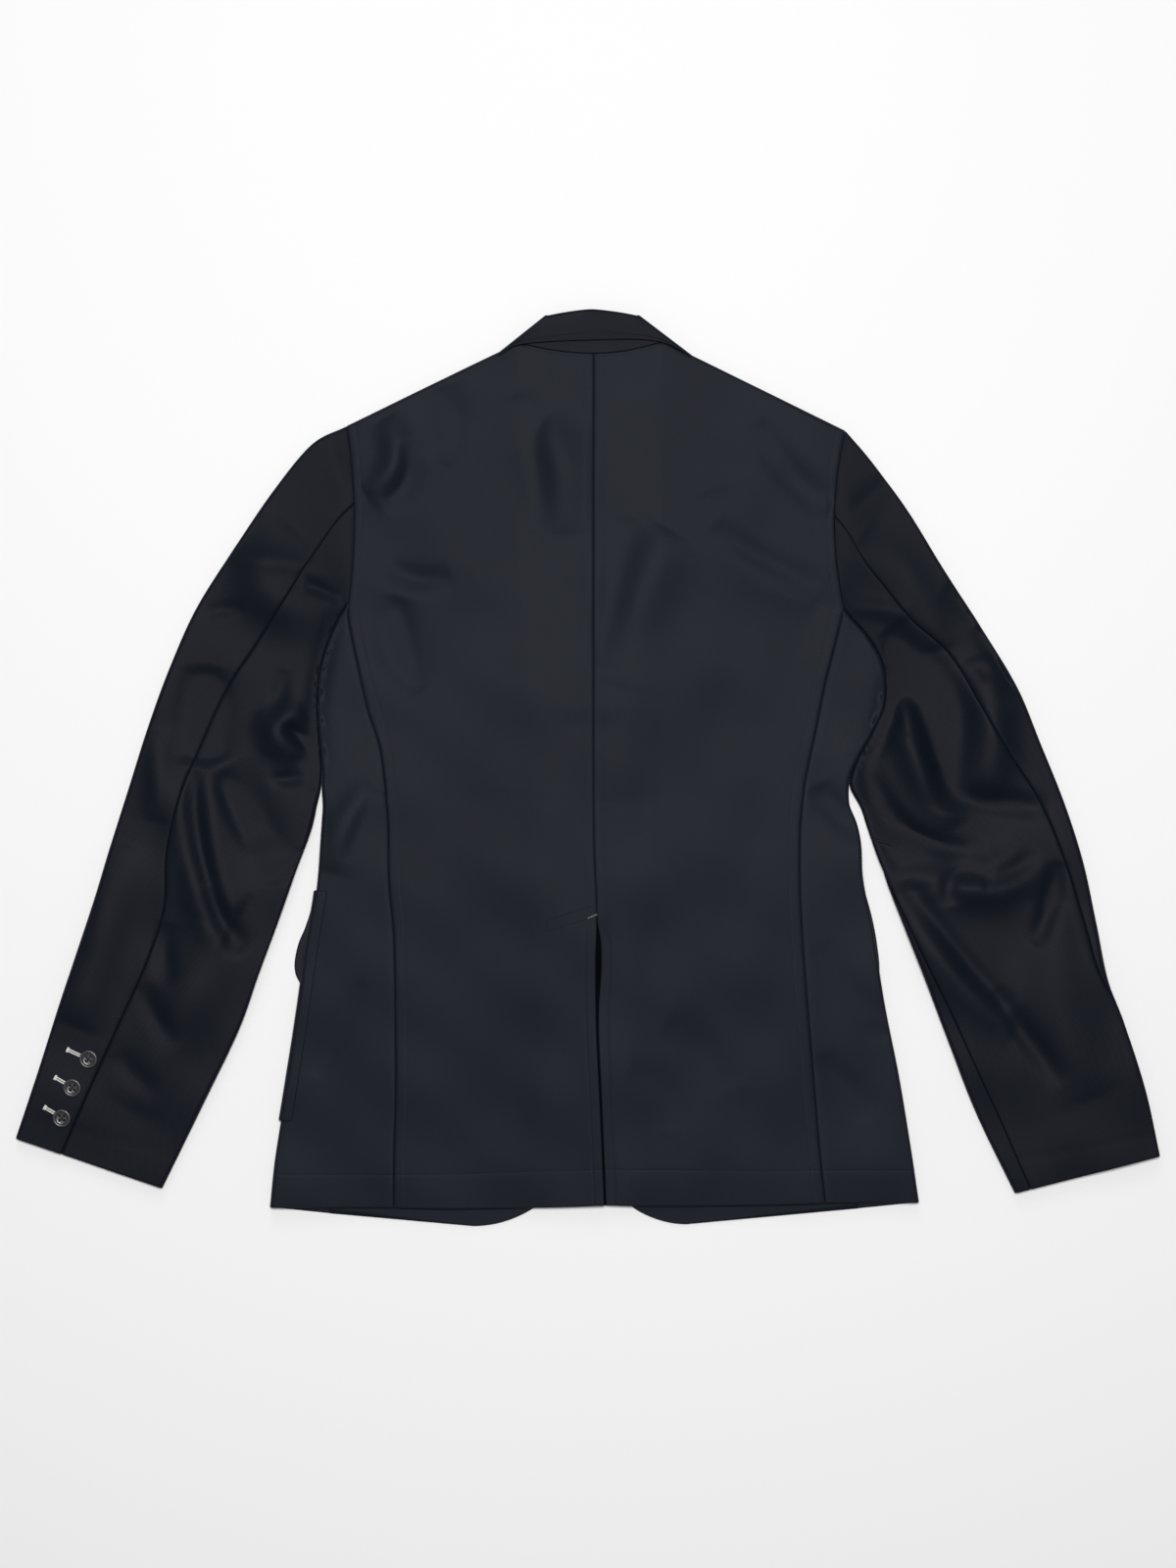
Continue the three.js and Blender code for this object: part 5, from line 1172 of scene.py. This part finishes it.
# Buttons. Black horn, turned with a raised rim round a dish with four holes, and sewn on with dark thread
# crossed between them: three on the left cuff, and five on the underside with their faces down.
horn = plain("Black horn", (0.028, 0.028, 0.031, 1), 0.27, 0.62)
BUTTON_PROFILE = np.array([
    (0, 0.52), (0.3, 0.53), (0.5, 0.55), (0.6, 0.6), (0.66, 0.72), (0.72, 0.9), (0.78, 0.985), (0.84, 1),
    (0.9, 0.96), (0.955, 0.84), (0.99, 0.68), (1, 0.52), (0.985, 0.34), (0.94, 0.16), (0.86, 0.04), (0.7, 0),
    (0, 0),
])
BUTTON_HOLE_SPREAD = 0.25
BUTTON_HOLE_SIZE = 0.12
BUTTON_HOLE_DEPTH = 0.36
BUTTON_SECTORS = 56
DISH_LEVEL = 0.53


def button(node, face_down):
    """A turned solid on a grid of rings and sectors; the holes are round dips in its dish."""
    low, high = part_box(node)
    centre, radius, height = (low + high) / 2, (high.x - low.x) / 2, high.z - low.z
    walk = np.concatenate([[0], np.hypot(*np.diff(BUTTON_PROFILE, axis=0).T).cumsum()])
    near_foot = walk[-1] - np.array([0.7, 0.3, 0.03])
    at = np.concatenate([np.linspace(0.02, 0.6, 22), np.linspace(0.63, walk[-1] - 0.72, 26), near_foot])
    ring, level = (np.interp(at, walk, BUTTON_PROFILE[:, k]) for k in (0, 1))
    turn = np.arange(BUTTON_SECTORS) * 2 * np.pi / BUTTON_SECTORS
    x, y = ring[:, None] * np.cos(turn), ring[:, None] * np.sin(turn)
    off_hole = np.hypot(np.abs(x) - BUTTON_HOLE_SPREAD, np.abs(y) - BUTTON_HOLE_SPREAD)
    hole = np.exp(-((off_hole / BUTTON_HOLE_SIZE) ** 6))
    z = level[:, None] - BUTTON_HOLE_DEPTH * hole * (at < 0.63)[:, None]
    if face_down:
        y, z = -y, 1 - z
    points = np.stack([x * radius, y * radius, z * height], -1) + (centre.x, centre.y, low.z)
    rings, sectors = x.shape
    index = np.arange(rings * sectors).reshape(rings, sectors)
    beyond = np.roll(index, -1, 1)
    faces = np.stack([index[:-1], index[1:], beyond[1:], beyond[:-1]], -1).reshape(-1, 4)
    half = np.arange(0, sectors, 2)
    hubs = np.array([points[0].mean(0), points[-1].mean(0)])
    hub = rings * sectors
    fan = np.stack([half, half + 1, (half + 2) % sectors], -1)
    hub_column = np.full((len(half), 1), hub)
    top = np.hstack([hub_column, index[0][fan]])
    foot = np.hstack([hub_column + 1, index[-1][fan[:, ::-1]]])
    points = np.concatenate([points.reshape(-1, 3), hubs])
    faces = facing_out(points, np.concatenate([faces, top, foot]))
    piece = cloth_mesh("Button_" + node, points, faces, np.zeros((len(points), 2)), horn)
    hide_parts(node)
    dish = (1 - DISH_LEVEL if face_down else DISH_LEVEL) * height + low.z
    spread = BUTTON_HOLE_SPREAD * radius
    lift = -0.0001 if face_down else 0.0001
    first = np.array([(centre.x - spread, centre.y + way * spread, dish + lift) for way in (-1, 1)])
    last = np.array([(centre.x + spread, centre.y - way * spread, dish + 2 * lift) for way in (-1, 1)])
    stitches("Thread_" + node, first * 1000, last * 1000, 0.5, black_thread)


for number in (1, 2, 3):
    button(f"left_cuff_button_{number}", False)
    button(f"right_cuff_button_{number}", True)
for number in (1, 2):
    button(f"front_button_{number}", True)

# Floor, light and camera. A plain pale floor, a soft light nearly overhead and a weak fill from beyond
# the collar, and the camera straight above, as the photograph was taken.
FLOOR_HALF, FLOOR_Z = 6, -0.0002
floor_corners = [(x * FLOOR_HALF, y * FLOOR_HALF, FLOOR_Z) for x, y in ((-1, -1), (1, -1), (1, 1), (-1, 1))]
floor_mesh = bpy.data.meshes.new("Floor")
floor_mesh.from_pydata(floor_corners, [], [(0, 1, 2, 3)])
floor = bpy.data.objects.new("Floor", floor_mesh)
bpy.context.scene.collection.objects.link(floor)
floor_mesh.materials.append(plain("Pale floor", (0.82, 0.82, 0.82, 1), 0.9, 0.5))

world = bpy.data.worlds.new("Studio")
world.use_nodes = True
world.node_tree.nodes["Background"].inputs["Color"].default_value = (1, 1, 1, 1)
world.node_tree.nodes["Background"].inputs["Strength"].default_value = 0.2
bpy.context.scene.world = world
bpy.context.scene.view_settings.view_transform = "Standard"


def area_light(name, place, size, power):
    """A square soft light at a place in metres, turned to the coat's middle."""
    light = bpy.data.lights.new(name, "AREA")
    light.size = size
    light.energy = power
    lamp = bpy.data.objects.new(name, light)
    lamp.location = place
    lamp.rotation_euler = (-Vector(place)).to_track_quat("-Z", "Y").to_euler()
    bpy.context.scene.collection.objects.link(lamp)


area_light("Key", (0.02, 0.5, 3.3), 0.9, 102)
area_light("Fill", (-0.4, 2.8, 1.7), 1.2, 14)

camera_data = bpy.data.cameras.new("Camera")
camera_data.lens = 85
camera_data.sensor_width = 36
camera = bpy.data.objects.new("Camera", camera_data)
camera.location = (0.0002, -0.0129, 3.03)
bpy.context.scene.collection.objects.link(camera)
bpy.context.scene.camera = camera
